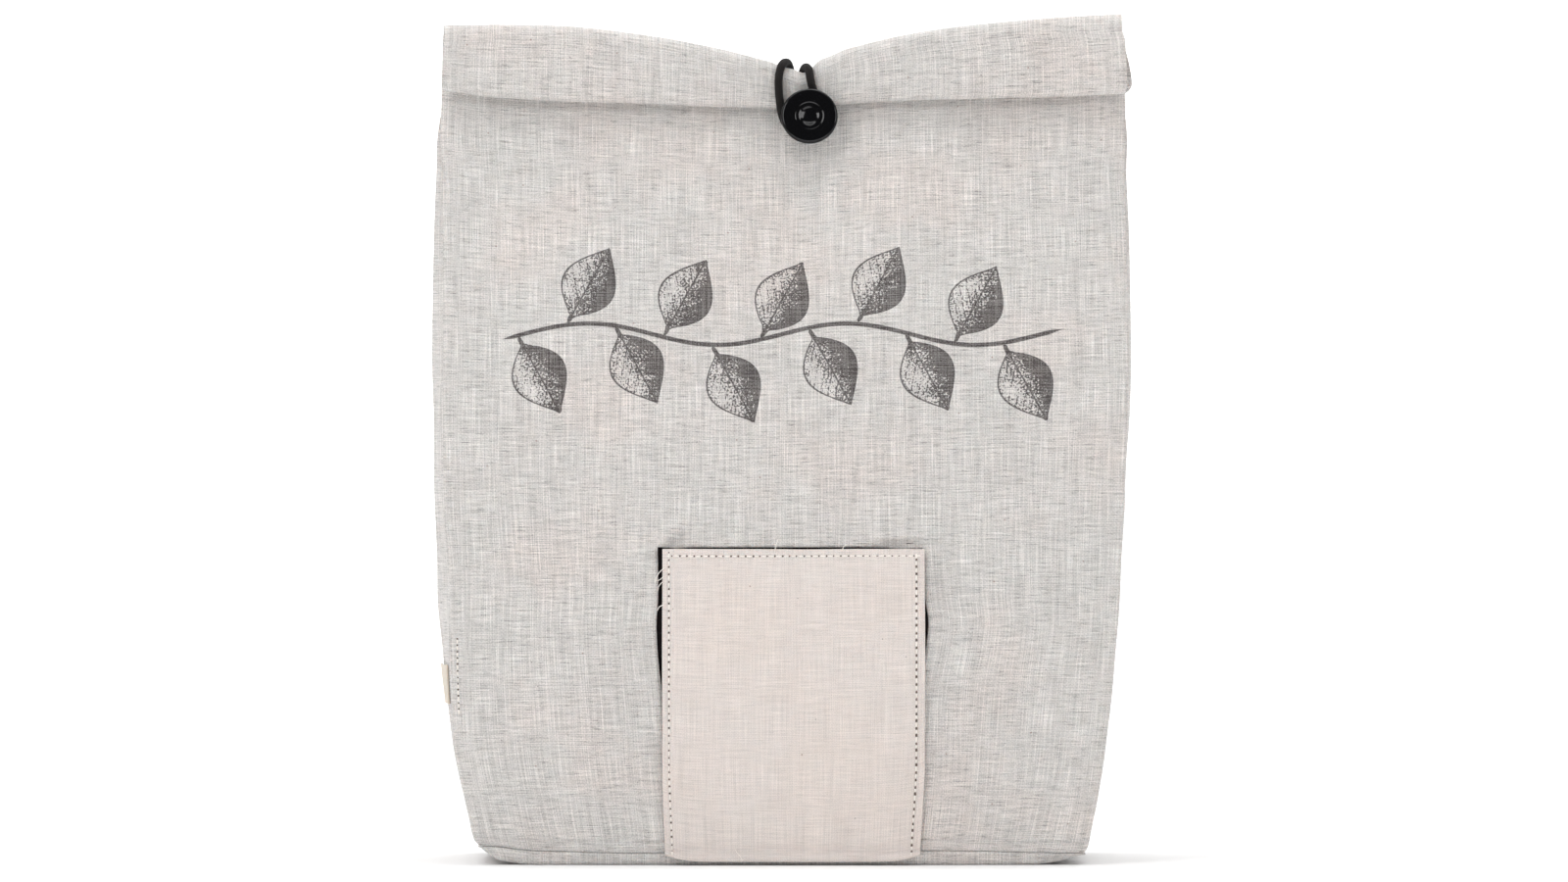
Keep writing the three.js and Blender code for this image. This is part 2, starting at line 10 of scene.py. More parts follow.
import bpy
import numpy as np
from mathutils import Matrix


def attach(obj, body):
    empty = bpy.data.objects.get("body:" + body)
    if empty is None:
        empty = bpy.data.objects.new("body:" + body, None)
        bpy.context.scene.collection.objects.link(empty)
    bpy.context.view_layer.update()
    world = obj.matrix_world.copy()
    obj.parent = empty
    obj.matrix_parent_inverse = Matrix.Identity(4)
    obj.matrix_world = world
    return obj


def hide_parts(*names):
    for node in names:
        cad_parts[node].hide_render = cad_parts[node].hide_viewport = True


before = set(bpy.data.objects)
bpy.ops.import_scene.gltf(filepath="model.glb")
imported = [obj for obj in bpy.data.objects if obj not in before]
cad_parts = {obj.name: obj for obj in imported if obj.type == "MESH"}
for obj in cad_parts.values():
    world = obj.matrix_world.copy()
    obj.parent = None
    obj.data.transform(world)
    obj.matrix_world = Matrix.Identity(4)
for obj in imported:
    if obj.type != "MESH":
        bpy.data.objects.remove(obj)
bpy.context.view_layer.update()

# %% [markdown]
# ## The bag's sizes
# Cloth has no planes or cylinders, so its form is a table: one row for each level, holding the
# side seams and how deep the bag is there. A smooth curve through the rows gives every level
# between. The lengths are in millimetres, and shares follow the size they are named after.

# %% Sizes of the bag
MM = 0.001
BAG_WIDTH, BAG_DEPTH = 260, 100
NECK_HEIGHT, BASE_RISE, BASE_ROUND = 281, 5, 8
CLOTH, SHELL, FOLD_GAP, SEAM_GAP = 1.2, 1.1, 0.3, 0.3
ROLL_HEIGHT, WRAP_GAP, PINCH_GAP, PINCH_REACH = 36, 1.3, 0.3, 34
MOUTH_GAP, NECK_DROP = 2, 0.5
CROWN_POWER, PUFF_POWER = 2.4, 4
FOLD_START, FOLD_FULL, FOLD_MOUTH, FOLD_POWER = 0.3, 0.68, 0.74, 1.4
half_width, half_depth = BAG_WIDTH / 2, BAG_DEPTH / 2
body_height = NECK_HEIGHT - BASE_RISE
neck_depth = CLOTH + FOLD_GAP / 2
roll_pitch = 2 * neck_depth + WRAP_GAP
pinch_pitch = 2 * neck_depth + PINCH_GAP

SECTIONS = {
    "rise":  [0, 0.06, 0.15, 0.25, 0.35, 0.5, 0.65, 0.8, 0.92, 0.97, 1],
    "left":  [0.862, 0.897, 0.933, 0.941, 0.943, 0.963, 0.965, 0.969, 0.973, 0.972, 0.971],
    "right": [0.862, 0.898, 0.923, 0.941, 0.957, 0.972, 0.986, 0.983, 0.978, 0.978, 0.978],
    "seam":  [0.92, 0.95, 0.97, 0.96, 0.93, 0.84, 0.67, 0.42, 0.18, 0.07, 0],
    "front": [0.96, 1.01, 1.04, 1.05, 1.04, 0.96, 0.8, 0.53, 0.235, 0.095, 0],
    "back":  [0.96, 1.0, 1.04, 1.06, 1.05, 0.95, 0.78, 0.51, 0.225, 0.09, 0],
    "puffL": [0.03, 0.026, 0.03, 0.08, 0.12, 0.108, 0.128, 0.105, 0.055, 0.02, 0.01],
    "puffR": [0.02, 0.02, 0.02, 0.024, 0.026, 0.03, 0.04, 0.04, 0.027, 0.014, 0.01],
}
ROLL_EDGES = {
    "across": [-0.97, -0.85, -0.67, -0.4, -0.2, -0.06, 0.05, 0.115, 0.2, 0.4, 0.6, 0.8, 0.98],
    "top":    [0.886, 0.886, 0.878, 0.785, 0.653, 0.53, 0.42, 0.52, 0.645, 0.81, 0.908, 0.967, 1],
    "foot":   [0.194, 0.139, 0.094, 0.061, 0.035, 0.026, 0.022, 0.042, 0.067, 0.1, 0.117, 0.139, 0.164],
}
ROLL_ENDS = {
    "leg":   [0, 1, 2, 2.2, 2.6, 3, 3.5, 4, 5],
    "left":  [0.982, 0.977, 0.971, 0.975, 0.977, 0.979, 0.974, 0.97, 0.958],
    "right": [0.992, 0.983, 0.98, 0.989, 0.993, 0.995, 0.988, 1.01, 0.98],
}
DENTS = {
    "across": [0.33, -0.4, 0.56, 0.08, -0.62, 0.72],
    "rise":   [0.45, 0.46, 0.3, 0.9, 0.2, 0.62],
    "wide":   [0.24, 0.16, 0.12, 0.22, 0.16, 0.18],
    "tall":   [0.05, 0.05, 0.16, 0.07, 0.1, 0.14],
    "deep":   [0.03, 0.024, 0.028, 0.02, -0.03, 0.025],
}
print("The cloth is", CLOTH, "mm thick and the wraps lie", roll_pitch, "mm apart")

# %% Reading a table on a smooth curve that never overshoots its rows
def value_at(table, along, name, at):
    xs, ys = np.array(table[along], float), np.array(table[name], float)
    width, slope = np.diff(xs), np.diff(ys) / np.diff(xs)
    before, after = slope[:-1], slope[1:]
    same_way = before * after > 0
    inner = np.where(same_way, 2 * before * after / np.where(same_way, before + after, 1), 0)
    tangent = np.concatenate([slope[:1], inner, slope[-1:]])
    at = np.clip(at, xs[0], xs[-1])
    i = np.clip(np.searchsorted(xs, at) - 1, 0, len(xs) - 2)
    t = (at - xs[i]) / width[i]
    rise = (3 - 2 * t) * t * t
    bend = width[i] * ((t - 1) ** 2 * t * tangent[i] + (t - 1) * t * t * tangent[i + 1])
    return ys[i] + rise * (ys[i + 1] - ys[i]) + bend


def between(low, high, share):
    return low + (high - low) * share


def bell(distance, reach):
    """1 at no distance, and nearly 0 at twice the reach."""
    return np.exp(-((distance / reach) ** 2))


def eased(value, low, high):
    share = np.clip((value - low) / (high - low), 0, 1)
    return share * share * (3 - 2 * share)


# %% The body's surface
def top_z(x):
    return NECK_HEIGHT + ROLL_HEIGHT * value_at(ROLL_EDGES, "across", "top", x / half_width)


def foot_z(x):
    return NECK_HEIGHT + ROLL_HEIGHT * value_at(ROLL_EDGES, "across", "foot", x / half_width)


def neck_z(x):
    return foot_z(x) - NECK_DROP


def seam_x(side, rise):
    return side * half_width * value_at(SECTIONS, "rise", "left" if side < 0 else "right", rise)


def depth_at(name, rise):
    return between(neck_depth, half_depth, value_at(SECTIONS, "rise", name, rise))


def dent_depth(across, rise):
    rows = zip(*DENTS.values())
    return sum(
        deep * half_depth * np.exp(-(((across - a) / wide) ** 2) - ((rise - r) / tall) ** 2)
        for a, r, wide, tall, deep in rows
    )


def panel_y(face, x, z):
    """Depth of the outer face of the front (face -1) or back (face 1) cloth, in mm."""
    rise = np.clip((z - BASE_RISE) / (neck_z(x) - BASE_RISE), 0, 1)
    left, right = seam_x(-1, rise), seam_x(1, rise)
    across = np.clip((2 * x - left - right) / (right - left), -1, 1)
    crown = 1 - np.abs(across) ** CROWN_POWER
    plain = between(depth_at("seam", rise), depth_at("front" if face < 0 else "back", rise), crown)
    fade = crown * (1 - (2 * rise - 1) ** 8)
    return face * (plain - fade * dent_depth(across, rise) if face < 0 else plain)


def inside_panel(face, x, z, inward):
    """Points a distance inside that face, square to the cloth, as an array of x, y and z."""
    step = 0.5
    slope_x = (panel_y(face, x + step, z) - panel_y(face, x - step, z)) / (2 * step)
    slope_z = (panel_y(face, x, z + step) - panel_y(face, x, z - step)) / (2 * step)
    outward = face * np.stack([-slope_x, np.ones_like(slope_x), -slope_z], axis=-1)
    outward /= np.linalg.norm(outward, axis=-1, keepdims=True)
    return np.stack([x, panel_y(face, x, z), z], axis=-1) - outward * np.asarray(inward)[..., None]


print("Seam to seam at half height:", round(float(seam_x(1, 0.5) - seam_x(-1, 0.5))), "mm")

# %% The roll's surface
BUTTON_ACROSS, PRESS, PRESS_X, PRESS_REACH = 10.4, 1.7, 8.8, 3.8


def pitch_at(x):
    return between(roll_pitch, pinch_pitch, bell(x - BUTTON_ACROSS, PINCH_REACH))


def on_roll(x, leg, off):
    """Points off the middle of the two cloths. Leg 0 to 1 rises behind, 1 to 2 turns over the
    top, 2 to 3 falls in front, 3 to 4 turns under, and 4 to 5 rises inside to the mouth."""
    pitch = pitch_at(x)
    heel_radius = pitch / 2
    crest = top_z(x) - neck_depth - pitch
    heel = foot_z(x) + neck_depth + heel_radius
    over, under = (leg - 1) * np.pi, (leg - 3) * np.pi
    when = [leg <= 1, leg <= 2, leg <= 3, leg <= 4]
    out_y = np.select(when, [1 + 0 * leg, np.cos(over), -1 + 0 * leg, -np.cos(under)], 1)
    out_z = np.select(when, [0 * leg, np.sin(over), 0 * leg, -np.sin(under)], 0)
    pressed = PRESS * bell(x - PRESS_X, PRESS_REACH)
    crest = crest - pressed * eased(leg, 0.7, 1) * (1 - eased(leg, 2, 2.6))
    y = np.select(when, [0 * pitch, pitch * (out_y - 1), -2 * pitch, heel_radius * (out_y - 3)], -pitch)
    z = np.select(
        when,
        [
            between(neck_z(x), crest, leg),
            crest + pitch * out_z,
            between(crest, heel, leg - 2),
            heel + heel_radius * out_z,
        ],
        between(heel, crest - MOUTH_GAP, leg - 4),
    )
    return np.stack([x + 0 * y, y + off * out_y, z + off * out_z], axis=-1)


print("At the button the wraps lie", round(float(pitch_at(BUTTON_ACROSS)), 1), "mm apart")

# %% [markdown]
# ## Camera, floor and light
# The photo is taken straight from the front with a long lens, just above the table. A far camera
# with a long lens keeps the near flap and the far roll at one scale. Large soft lights and a pale
# floor that curves up behind give the even white of a product photo. A low light in front fills
# the flap and the foot. The room is dark in one place above the camera, so that gloss stays black.

# %% Camera
IMAGE_WIDTH_MM = 585.6
CAMERA_DISTANCE = 4.0
CAMERA_RISE = math.radians(0.7)
SENSOR = 36
AIM = (0.0009, -0.02, 0.1571)


def placed(name, data):
    """Puts a new object with this data into the scene."""
    thing = bpy.data.objects.new(name, data)
    bpy.context.collection.objects.link(thing)
    return thing


camera = placed("camera", bpy.data.cameras.new("camera"))
camera.data.sensor_width = SENSOR
camera.data.lens = SENSOR * CAMERA_DISTANCE / (IMAGE_WIDTH_MM * MM)
camera.location = (
    AIM[0],
    AIM[1] - CAMERA_DISTANCE * math.cos(CAMERA_RISE),
    AIM[2] + CAMERA_DISTANCE * math.sin(CAMERA_RISE),
)
camera.rotation_euler = (math.pi / 2 - CAMERA_RISE, 0, 0)
bpy.context.scene.camera = camera
print("Lens:", round(camera.data.lens), "mm")

# %% Colours and nodes
def paint(hex_colour):
    """A colour written as in a paint program, turned to the linear values that light needs."""
    parts = [int(hex_colour[i:i + 2], 16) / 255 for i in (1, 3, 5)]
    return [p / 12.92 if p <= 0.04045 else ((p + 0.055) / 1.055) ** 2.4 for p in parts] + [1]


def add(tree, kind, settings={}):
    """Adds a node. A second word in kind is its operation. Each setting is an option or an
    input. Its value is a plain one, or the node or socket that feeds it."""
    kind, *operation = kind.split()
    node = tree.nodes.new(kind if "Node" in kind else "ShaderNode" + kind)
    if operation:
        node.operation = operation[0]
    for key, value in settings.items():
        source = getattr(value, "outputs", [value])[0]
        if isinstance(source, bpy.types.NodeSocket):
            tree.links.new(source, node.inputs[key])
        elif isinstance(key, str) and hasattr(node, key):
            setattr(node, key, value)
        else:
            node.inputs[key].default_value = value
    return node


def new_material(name):
    material = bpy.data.materials.new(name)
    material.use_nodes = True
    material.node_tree.nodes.clear()
    return material, material.node_tree


def finished(material, settings):
    """Ends a material with its shader and its output."""
    shader = add(material.node_tree, "BsdfPrincipled", settings)
    add(material.node_tree, "OutputMaterial", {"Surface": shader})
    return material


print("Paper white in linear light:", [round(part, 2) for part in paint("#fbfbfb")])

# %% Floor and lights
FLOOR_REACH, FLOOR_BACK, FLOOR_CURVE = 9, 4, 2


def make_floor():
    profile = [(-FLOOR_REACH, 0), (FLOOR_BACK, 0)]
    profile += [
        (FLOOR_BACK + FLOOR_CURVE * math.sin(a), FLOOR_CURVE * (1 - math.cos(a)))
        for a in np.linspace(0, math.pi / 2, 17)[1:]
    ]
    profile.append((FLOOR_BACK + FLOOR_CURVE, FLOOR_REACH))
    points = [(x, y, z) for y, z in profile for x in (-FLOOR_REACH, FLOOR_REACH)]
    faces = [(i, i + 1, i + 3, i + 2) for i in range(0, len(points) - 2, 2)]
    mesh = bpy.data.meshes.new("floor")
    mesh.from_pydata(points, [], faces)
    mesh.polygons.foreach_set("use_smooth", [True] * len(faces))
    # Matt paper gives no reflection, so the lights turn it plain white.
    paper, _ = new_material("pale paper")
    mesh.materials.append(finished(paper, {"Base Color": paint("#fbfbfb"), "Roughness": 0.9}))
    return placed("floor", mesh)


def soft_light(name, place, size, watts, aim):
    light = bpy.data.lights.new(name, "AREA")
    light.shape, light.size, light.size_y, light.energy = "RECTANGLE", *size, watts
    lamp = placed(name, light)
    lamp.location = place
    away = [a - b for a, b in zip(place, aim)]
    across = math.hypot(away[0], away[1])
    lamp.rotation_euler = (math.atan2(across, away[2]), 0, math.atan2(away[0], -away[1]))


def studio_world():
    """White light from all round, but dark above the camera, so that gloss stays black."""
    world = bpy.data.worlds.new("studio")
    world.use_nodes = True
    tree = world.node_tree
    direction = add(tree, "TexCoord")
    facing = add(tree, "VectorMath DOT_PRODUCT", {0: direction.outputs["Generated"], 1: DARK_SIDE})
    strength = add(tree, "MapRange", {
        "From Min": DARK_EDGE, "From Max": DARK_CORE, "To Min": ROOM_LIGHT,
        "To Max": ROOM_LIGHT * DARK_SHARE, "Value": facing.outputs["Value"]})
    tree.links.new(strength.outputs[0], tree.nodes["Background"].inputs["Strength"])
    tree.nodes["Background"].inputs["Color"].default_value = (1, 1, 1, 1)
    return world


DARK_SIDE, DARK_EDGE, DARK_CORE, DARK_SHARE = (0, -0.87, 0.49), 0.4, 0.8, 0.15
ROOM_LIGHT = 0.77
BAG_MIDDLE, BACKDROP = (0, 0, 0.16), (0, 5, 0.3)
LIGHTS = [  # name, place, size, watts and aim
    ("left window", (-1.05, -1.5, 1.3), (0.6, 1.0), 10.5, BAG_MIDDLE),
    ("right window", (1.35, -1.5, 1.25), (0.35, 0.8), 6.2, BAG_MIDDLE),
    ("low front light", (0, -2.4, 0.12), (2.6, 0.4), 10.5, BAG_MIDDLE),
    ("top light", (-0.1, 0.25, 2.2), (2.8, 2.4), 43, BAG_MIDDLE),
    ("backdrop light", (0, 2.2, 2.6), (4, 2.5), 220, BACKDROP),
]
floor = make_floor()
for light in LIGHTS:
    soft_light(*light)
bpy.context.scene.world = studio_world()
bpy.context.scene.view_settings.view_transform = "Standard"

# %% [markdown]
# ## The woven cloth
# The bag is a plain weave of linen and cotton. Its yarns are uneven: each one is a little lighter
# or darker along its length, and thick places called slubs show as short dark or pale dashes. So
# the colour is noise pulled out long along each yarn, and the relief is two crossing waves at the
# yarns' spacing. The waves also paint a faint shade into the colour, darker in the hollows between
# the yarns. The cloth's own map is in metres, so the threads follow its folds.

# %% Weave
def weave(tree, spacing, uneven, slubs, seed):
    """Brightness and relief of a plain weave. spacing is from yarn to yarn, in mm."""
    cloth_map = add(tree, "UVMap", {"uv_map": "cloth"})
    metres, total = 1 / MM, None
    layers = [  # mm across and along a yarn, runs up, detail, seed, noise from and to, light from and to
        (spacing * 0.55, 22, True, 1, 0, 0.25, 0.75, -uneven, uneven),
        (spacing * 0.55, 15, False, 1, 7, 0.25, 0.75, -uneven * 1.1, uneven * 1.1),
        (5, 90, True, 1, 31, 0.25, 0.75, -uneven * 0.22, uneven * 0.22),
        (spacing * 0.6, spacing * 0.6, True, 1, 23, 0.25, 0.75, -uneven * 1.3, uneven * 1.3),
        (spacing * 0.7, 5, False, 1, 13, 0.6, 0.76, 0, -slubs),
        (spacing * 0.8, 11, False, 1, 17, 0.6, 0.76, 0, -slubs * 0.5),
        (spacing * 0.6, 20, True, 0, 19, 0.6, 0.76, 0, slubs * 0.7),
        (spacing * 0.6, 12, False, 0, 29, 0.6, 0.76, 0, slubs * 0.5),
    ]
    for across, along, upright, detail, shift, start, end, low, high in layers:
        scale = (metres / across, metres / along, 1)
        turned = scale if upright else (scale[1], scale[0], 1)
        place = add(tree, "Mapping", {
            "Scale": turned, "Location": (seed + shift, shift, 0), "Vector": cloth_map})
        noise = add(tree, "TexNoise", {
            "noise_dimensions": "2D", "Scale": 1, "Detail": detail, "Vector": place})
        change = add(tree, "MapRange", {
            "From Min": start, "From Max": end, "To Min": low, "To Max": high, "Value": noise})
        total = change if total is None else add(tree, "Math ADD", {0: total, 1: change})

    axes = add(tree, "SeparateXYZ", {0: cloth_map})
    waves = []
    for axis in ("X", "Y"):
        turns = math.pi * metres / spacing
        angle = add(tree, "Math MULTIPLY", {0: axes.outputs[axis], 1: turns})
        waves.append(add(tree, "Math SINE", {0: angle}))
    crossing_relief_and_shade = add(tree, "Math MULTIPLY", {0: waves[0], 1: waves[1]})
    level = add(tree, "Math ADD", {0: total, 1: 1.0})
    # The crossing waves darken the colour a little in the hollows between yarns: painted shade.
    yarn_tone_and_shade = add(tree, "Math MULTIPLY_ADD", {0: crossing_relief_and_shade, 1: uneven * 0.4, 2: level})
    relief = add(tree, "Math MULTIPLY_ADD", {0: total, 1: 5.0, 2: crossing_relief_and_shade})
    return yarn_tone_and_shade, relief


# %% Stray fibres
def specks(tree, apart_mm, size_mm, hex_colour, colour, seed):
    """A few stray fibres of another colour, spun into the yarn: small dots, far apart."""
    cloth_map = add(tree, "UVMap", {"uv_map": "cloth"})
    place = add(tree, "Mapping", {"Location": (seed, seed, 0), "Vector": cloth_map})
    cells = add(tree, "TexVoronoi", {
        "voronoi_dimensions": "2D", "Scale": 1 / (apart_mm * MM), "Vector": place})
    near = size_mm / apart_mm
    dot = add(tree, "MapRange", {
        "From Min": near, "From Max": near * 0.6, "To Max": 0.55, "Value": cells.outputs["Distance"]})
    mixed = add(tree, "Mix", {"data_type": "RGBA", 0: dot, 6: colour, 7: paint(hex_colour)})
    return mixed.outputs[2]


# %% A cloth's material
DRIFT_MM = 45


def cloth_material(name, base, warm, cool, spacing, uneven, slubs, seed, relief_mm, sheen,
                   speck_apart=0, printed=None):
    """A plain-woven cloth, matt and soft. Thread by thread it is a little lighter or darker, and
    its colour drifts from a warm to a cool shade. A little light goes into the yarns and comes
    out beside, which softens the shade in folds: the subsurface settings do that."""
    material, tree = new_material(name)
    yarn_tone_and_shade, relief = weave(tree, spacing, uneven, slubs, seed)
    place = add(tree, "TexCoord")
    drift = add(tree, "TexNoise", {
        "Scale": 1 / (DRIFT_MM * MM), "Detail": 3, "Vector": place.outputs["Object"]})
    tint = add(tree, "ValToRGB", {"Fac": drift})
    ramp = tint.color_ramp.elements
    ramp[0].position, ramp[0].color = 0.35, paint(cool)
    ramp[1].position, ramp[1].color = 0.65, paint(warm)
    ramp.new(0.5).color = paint(base)
    colour = add(tree, "HueSaturation", {"Value": yarn_tone_and_shade, "Color": tint})
    if speck_apart:
        colour = specks(tree, speck_apart, 0.42, "#8a6656", colour.outputs[0], seed)
        colour = specks(tree, speck_apart * 0.8, 0.32, "#6d6562", colour, seed + 5)
    colour = printed(tree, colour, yarn_tone_and_shade) if printed else colour
    bump = add(tree, "Bump", {"Strength": 0.7, "Distance": relief_mm * MM, "Height": relief})
    return finished(material, {
        "Base Color": colour, "Normal": bump, "Roughness": 0.92, "Specular IOR Level": 0.25,
        "Sheen Weight": sheen, "Sheen Roughness": 0.5,
        "Subsurface Weight": 0.25, "Subsurface Radius": (1, 0.6, 0.45), "Subsurface Scale": 1.5 * MM,
    })


# %% The four cloths
# The real yarns lie closer than the 0.45 to 0.7 mm here. They are drawn this coarse to show.
# Linen-cotton is washed and left unpressed: matt, streaky and a little warm in places.
linen_look = {"base": "#d1cdca", "warm": "#d4cdc9", "cool": "#cfccc9", "spacing": 0.7, "uneven": 0.12,
              "slubs": 0.3, "relief_mm": 0.09, "sheen": 0.12, "speck_apart": 42}
linen = cloth_material("woven linen-cotton", **linen_look, seed=3)
# Cream cotton is a fine even weave, so it looks smooth and hardly mottled.
cream = cloth_material(
    "fine cream cotton", "#dcd3ce", "#ddd3cd", "#dbd3ce", 0.55, 0.075, 0.1, 41, 0.05, 0.12, 75
)
# Black cotton is close and dyed through, so it shows as a dark line without gloss.
black = cloth_material(
    "black cotton lining", "#1c1517", "#1e1618", "#1a1415", 0.6, 0.1, 0.1, 67, 0.08, 0.03
)
# Satin tape is woven with long floats, which lie flat and give it a faint sheen.
tape = cloth_material(
    "beige satin tape", "#d6ccbd", "#d8cdbc", "#d2cabc", 0.45, 0.03, 0.03, 89, 0.06, 0.2
)

print("Cloths:", [cloth.name for cloth in (linen, cream, black, tape)])

# %% [markdown]
# ## A grid of points becomes cloth
# Each panel is one grid of points on the surface above, and Solidify gives it the cloth's
# thickness. A grid keeps the threads of the weave straight, which a remeshed form would not. The
# map called cloth holds the distance along the grid in metres, so the weave keeps its scale.

# %% From a grid to a piece
def new_piece(name, mesh, material, slot, *nodes):
    piece = placed(name, mesh)
    if not mesh.materials:
        mesh.materials.append(material)
    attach(piece, "root")
    if nodes:
        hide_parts(*nodes)
    print(f"{name}: {len(mesh.polygons)} faces")
    return piece


def smooth_mesh(name, points, faces):
    """A mesh from points in mm, shaded as one smooth surface."""
    mesh = bpy.data.meshes.new(name)
    mesh.from_pydata((np.array(points) * MM).tolist(), [], faces)
    mesh.polygons.foreach_set("use_smooth", [True] * len(faces))
    return mesh


def grid_mesh(name, points, keep=None, marks={}):
    """points is rows by columns of x, y and z in mm. Seen from outside, columns run right.
    Each mark is a named number for every point, for a material to read."""
    rows, columns = points.shape[:2]
    index = np.arange(rows * columns).reshape(rows, columns)
    corners = np.stack([index[:-1, :-1], index[:-1, 1:], index[1:, 1:], index[1:, :-1]], axis=-1)
    chosen = np.ones((rows - 1, columns - 1), bool) if keep is None else keep
    faces = corners[chosen]
    used, inverse = np.unique(faces, return_inverse=True)
    faces = inverse.reshape(-1, 4)
    mesh = smooth_mesh(name, points.reshape(-1, 3)[used], faces.tolist())

    def along(axis):
        length = np.linalg.norm(np.diff(points, axis=axis), axis=-1).mean(axis=1 - axis)
        return np.concatenate([[0], np.cumsum(length)])

    v, u = along(0), along(1)
    flat = np.stack(np.meshgrid(u - u[-1] / 2, v), axis=-1).reshape(-1, 2)[used] * MM
    layer = mesh.uv_layers.new(name="cloth")
    layer.data.foreach_set("uv", flat[faces.ravel()].ravel())
    for mark, values in marks.items():
        mesh.attributes.new(mark, "FLOAT", "POINT").data.foreach_set("value", values.ravel()[used])
    return mesh


def thicken(piece, thickness, edge=0):
    wall = piece.modifiers.new("thickness", "SOLIDIFY")
    wall.thickness, wall.offset = thickness * MM, -1
    if edge:
        bevel = piece.modifiers.new("soft edge", "BEVEL")
        bevel.width, bevel.segments, bevel.limit_method = edge * MM, 2, "ANGLE"
        bevel.angle_limit = math.radians(50)


# %% [markdown]
# ## Small folds
# The photo shows a quiet, nearly smooth bag: a crease over the right corner of the flap, a
# valley beside it, and gathers where the elastic squeezes the roll. Each fold is a row of a table.
# A ridge stands up from the cloth, and a step is a ridge with a valley beside it.

# %% Folds of the front cloth
FOLDS = {
    "x":     [46.5, -39, 58, -51, 110, -60, 75, 8, 26, -14, 96, -98, 64, 18],
    "z":     [121, 123, 96, 92, 20, 150, 140, 268, 262, 264, 250, 30, 100, 124],
    "long":  [12, 9, 26, 26, 14, 40, 36, 14, 18, 18, 24, 18, 22, 16],
    "wide":  [1.9, 2.6, 2.4, 3, 4, 9, 10, 4, 4.5, 4.5, 6, 6, 3.4, 4],
    "turn":  [7, 40, 91, 88, 60, 25, -20, 90, 52, 128, 70, 100, 92, 4],
    "ridge": [0, 0, -1.5, -1.2, 0.5, 0.5, 0.4, -0.8, 0.7, 0.6, 0.5, 0.6, 1.3, 0.5],
    "step":  [2.7, 2.9, 0, 0, 0.4, 0, 0, 0, 0.3, 0.3, 0, 0, 0, 0],
}


print("Folds in the front cloth:", len(FOLDS["x"]))


def fold_height(x, z):
    total = 0 * x
    for fx, fz, long, wide, turn, ridge, step in zip(*FOLDS.values()):
        angle = math.radians(turn)
        a = ((x - fx) * math.cos(angle) + (z - fz) * math.sin(angle)) / long
        b = ((z - fz) * math.cos(angle) - (x - fx) * math.sin(angle)) / wide
        total = total + (ridge + 1.6 * step * b) * np.exp(-a * a - b * b)
    return total


# %% Waves, grid steps and seams
def ripple(x, z, size, seed):
    """Gentle uneven waves, about size mm long, from a few fixed directions."""
    draw = np.random.default_rng(seed)
    total = 0 * x
    for _ in range(7):
        turn, phase = draw.uniform(0, math.pi), draw.uniform(0, 2 * math.pi)
        length = size * draw.uniform(0.7, 1.6)
        total = total + np.sin(2 * math.pi * (x * math.cos(turn) + z * math.sin(turn)) / length + phase)
    return total / 7


def steps(low, high, spacing, fine_low=False, fine_high=False):
    """Places from low to high, set closer near an edge where the cloth turns in to a seam."""
    near = [0, 0.35, 0.8, 1.4, 2, 2.6, 3.2, 4]
    start = [low + d for d in near] if fine_low else [low]
    stop = [high - d for d in reversed(near)] if fine_high else [high]
    count = max(1, round((stop[0] - start[-1]) / spacing))
    return np.concatenate([start[:-1], np.linspace(start[-1], stop[0], count + 1), stop[1:]])


SIDE_TUCK, BASE_TUCK, TUCK_REACH = 0.75, 0.4, 1.0


def tucked(distance, depth):
    """How far cloth turns in near a seam, at a distance from it."""
    return depth * bell(distance, TUCK_REACH)


# %% How the foot of the bag has settled
CORNER_LIFT, EASE_LEFT, EASE_RIGHT, EASE_NECK = 1.5, 0.4, 0.9, 0.9
CORNER_PULL = {
    "z":  [0, 2, 4, 7, 11, 18, 400],
    "in": [2.8, 2.2, 0.6, -0.8, -0.6, -0.1, 0],
}
SEAM_SWAY = {
    "x":    [-130, -109, -91, -51, 0, 52, 96, 106, 130],
    "high": [1.0, 0.9, 0.4, -0.5, -0.3, 0.5, -0.4, -1.6, -2.0],
}


def settled(points):
    """Rounds and lifts the bag's lower corners, lets the side seams out by up to 2 mm at the
    neck, and lets the front base seam rise and fall. Numbers are read off the photo."""
    x, y, z = points[..., 0], points[..., 1], points[..., 2]
    pull = value_at(CORNER_PULL, "z", "in", z) * eased(np.abs(x), 92, 112)
    ease = np.where(x < 0, EASE_LEFT, EASE_RIGHT) * eased(z, 22, 70) + EASE_NECK * eased(z, 255, 274)
    pull -= ease * eased(np.abs(x), 60, 120)
    lift = CORNER_LIFT * eased(np.abs(x), 92, 110) * (1 - eased(z, 2, 12))
    near_seam = eased(z, 0, BASE_RISE) * (1 - eased(z, BASE_RISE, BASE_RISE + 9))
    sway = value_at(SEAM_SWAY, "x", "high", x) * near_seam * eased(-y, 8, 34)
    return np.stack([x - np.sign(x) * pull, y, z + sway + lift], axis=-1)


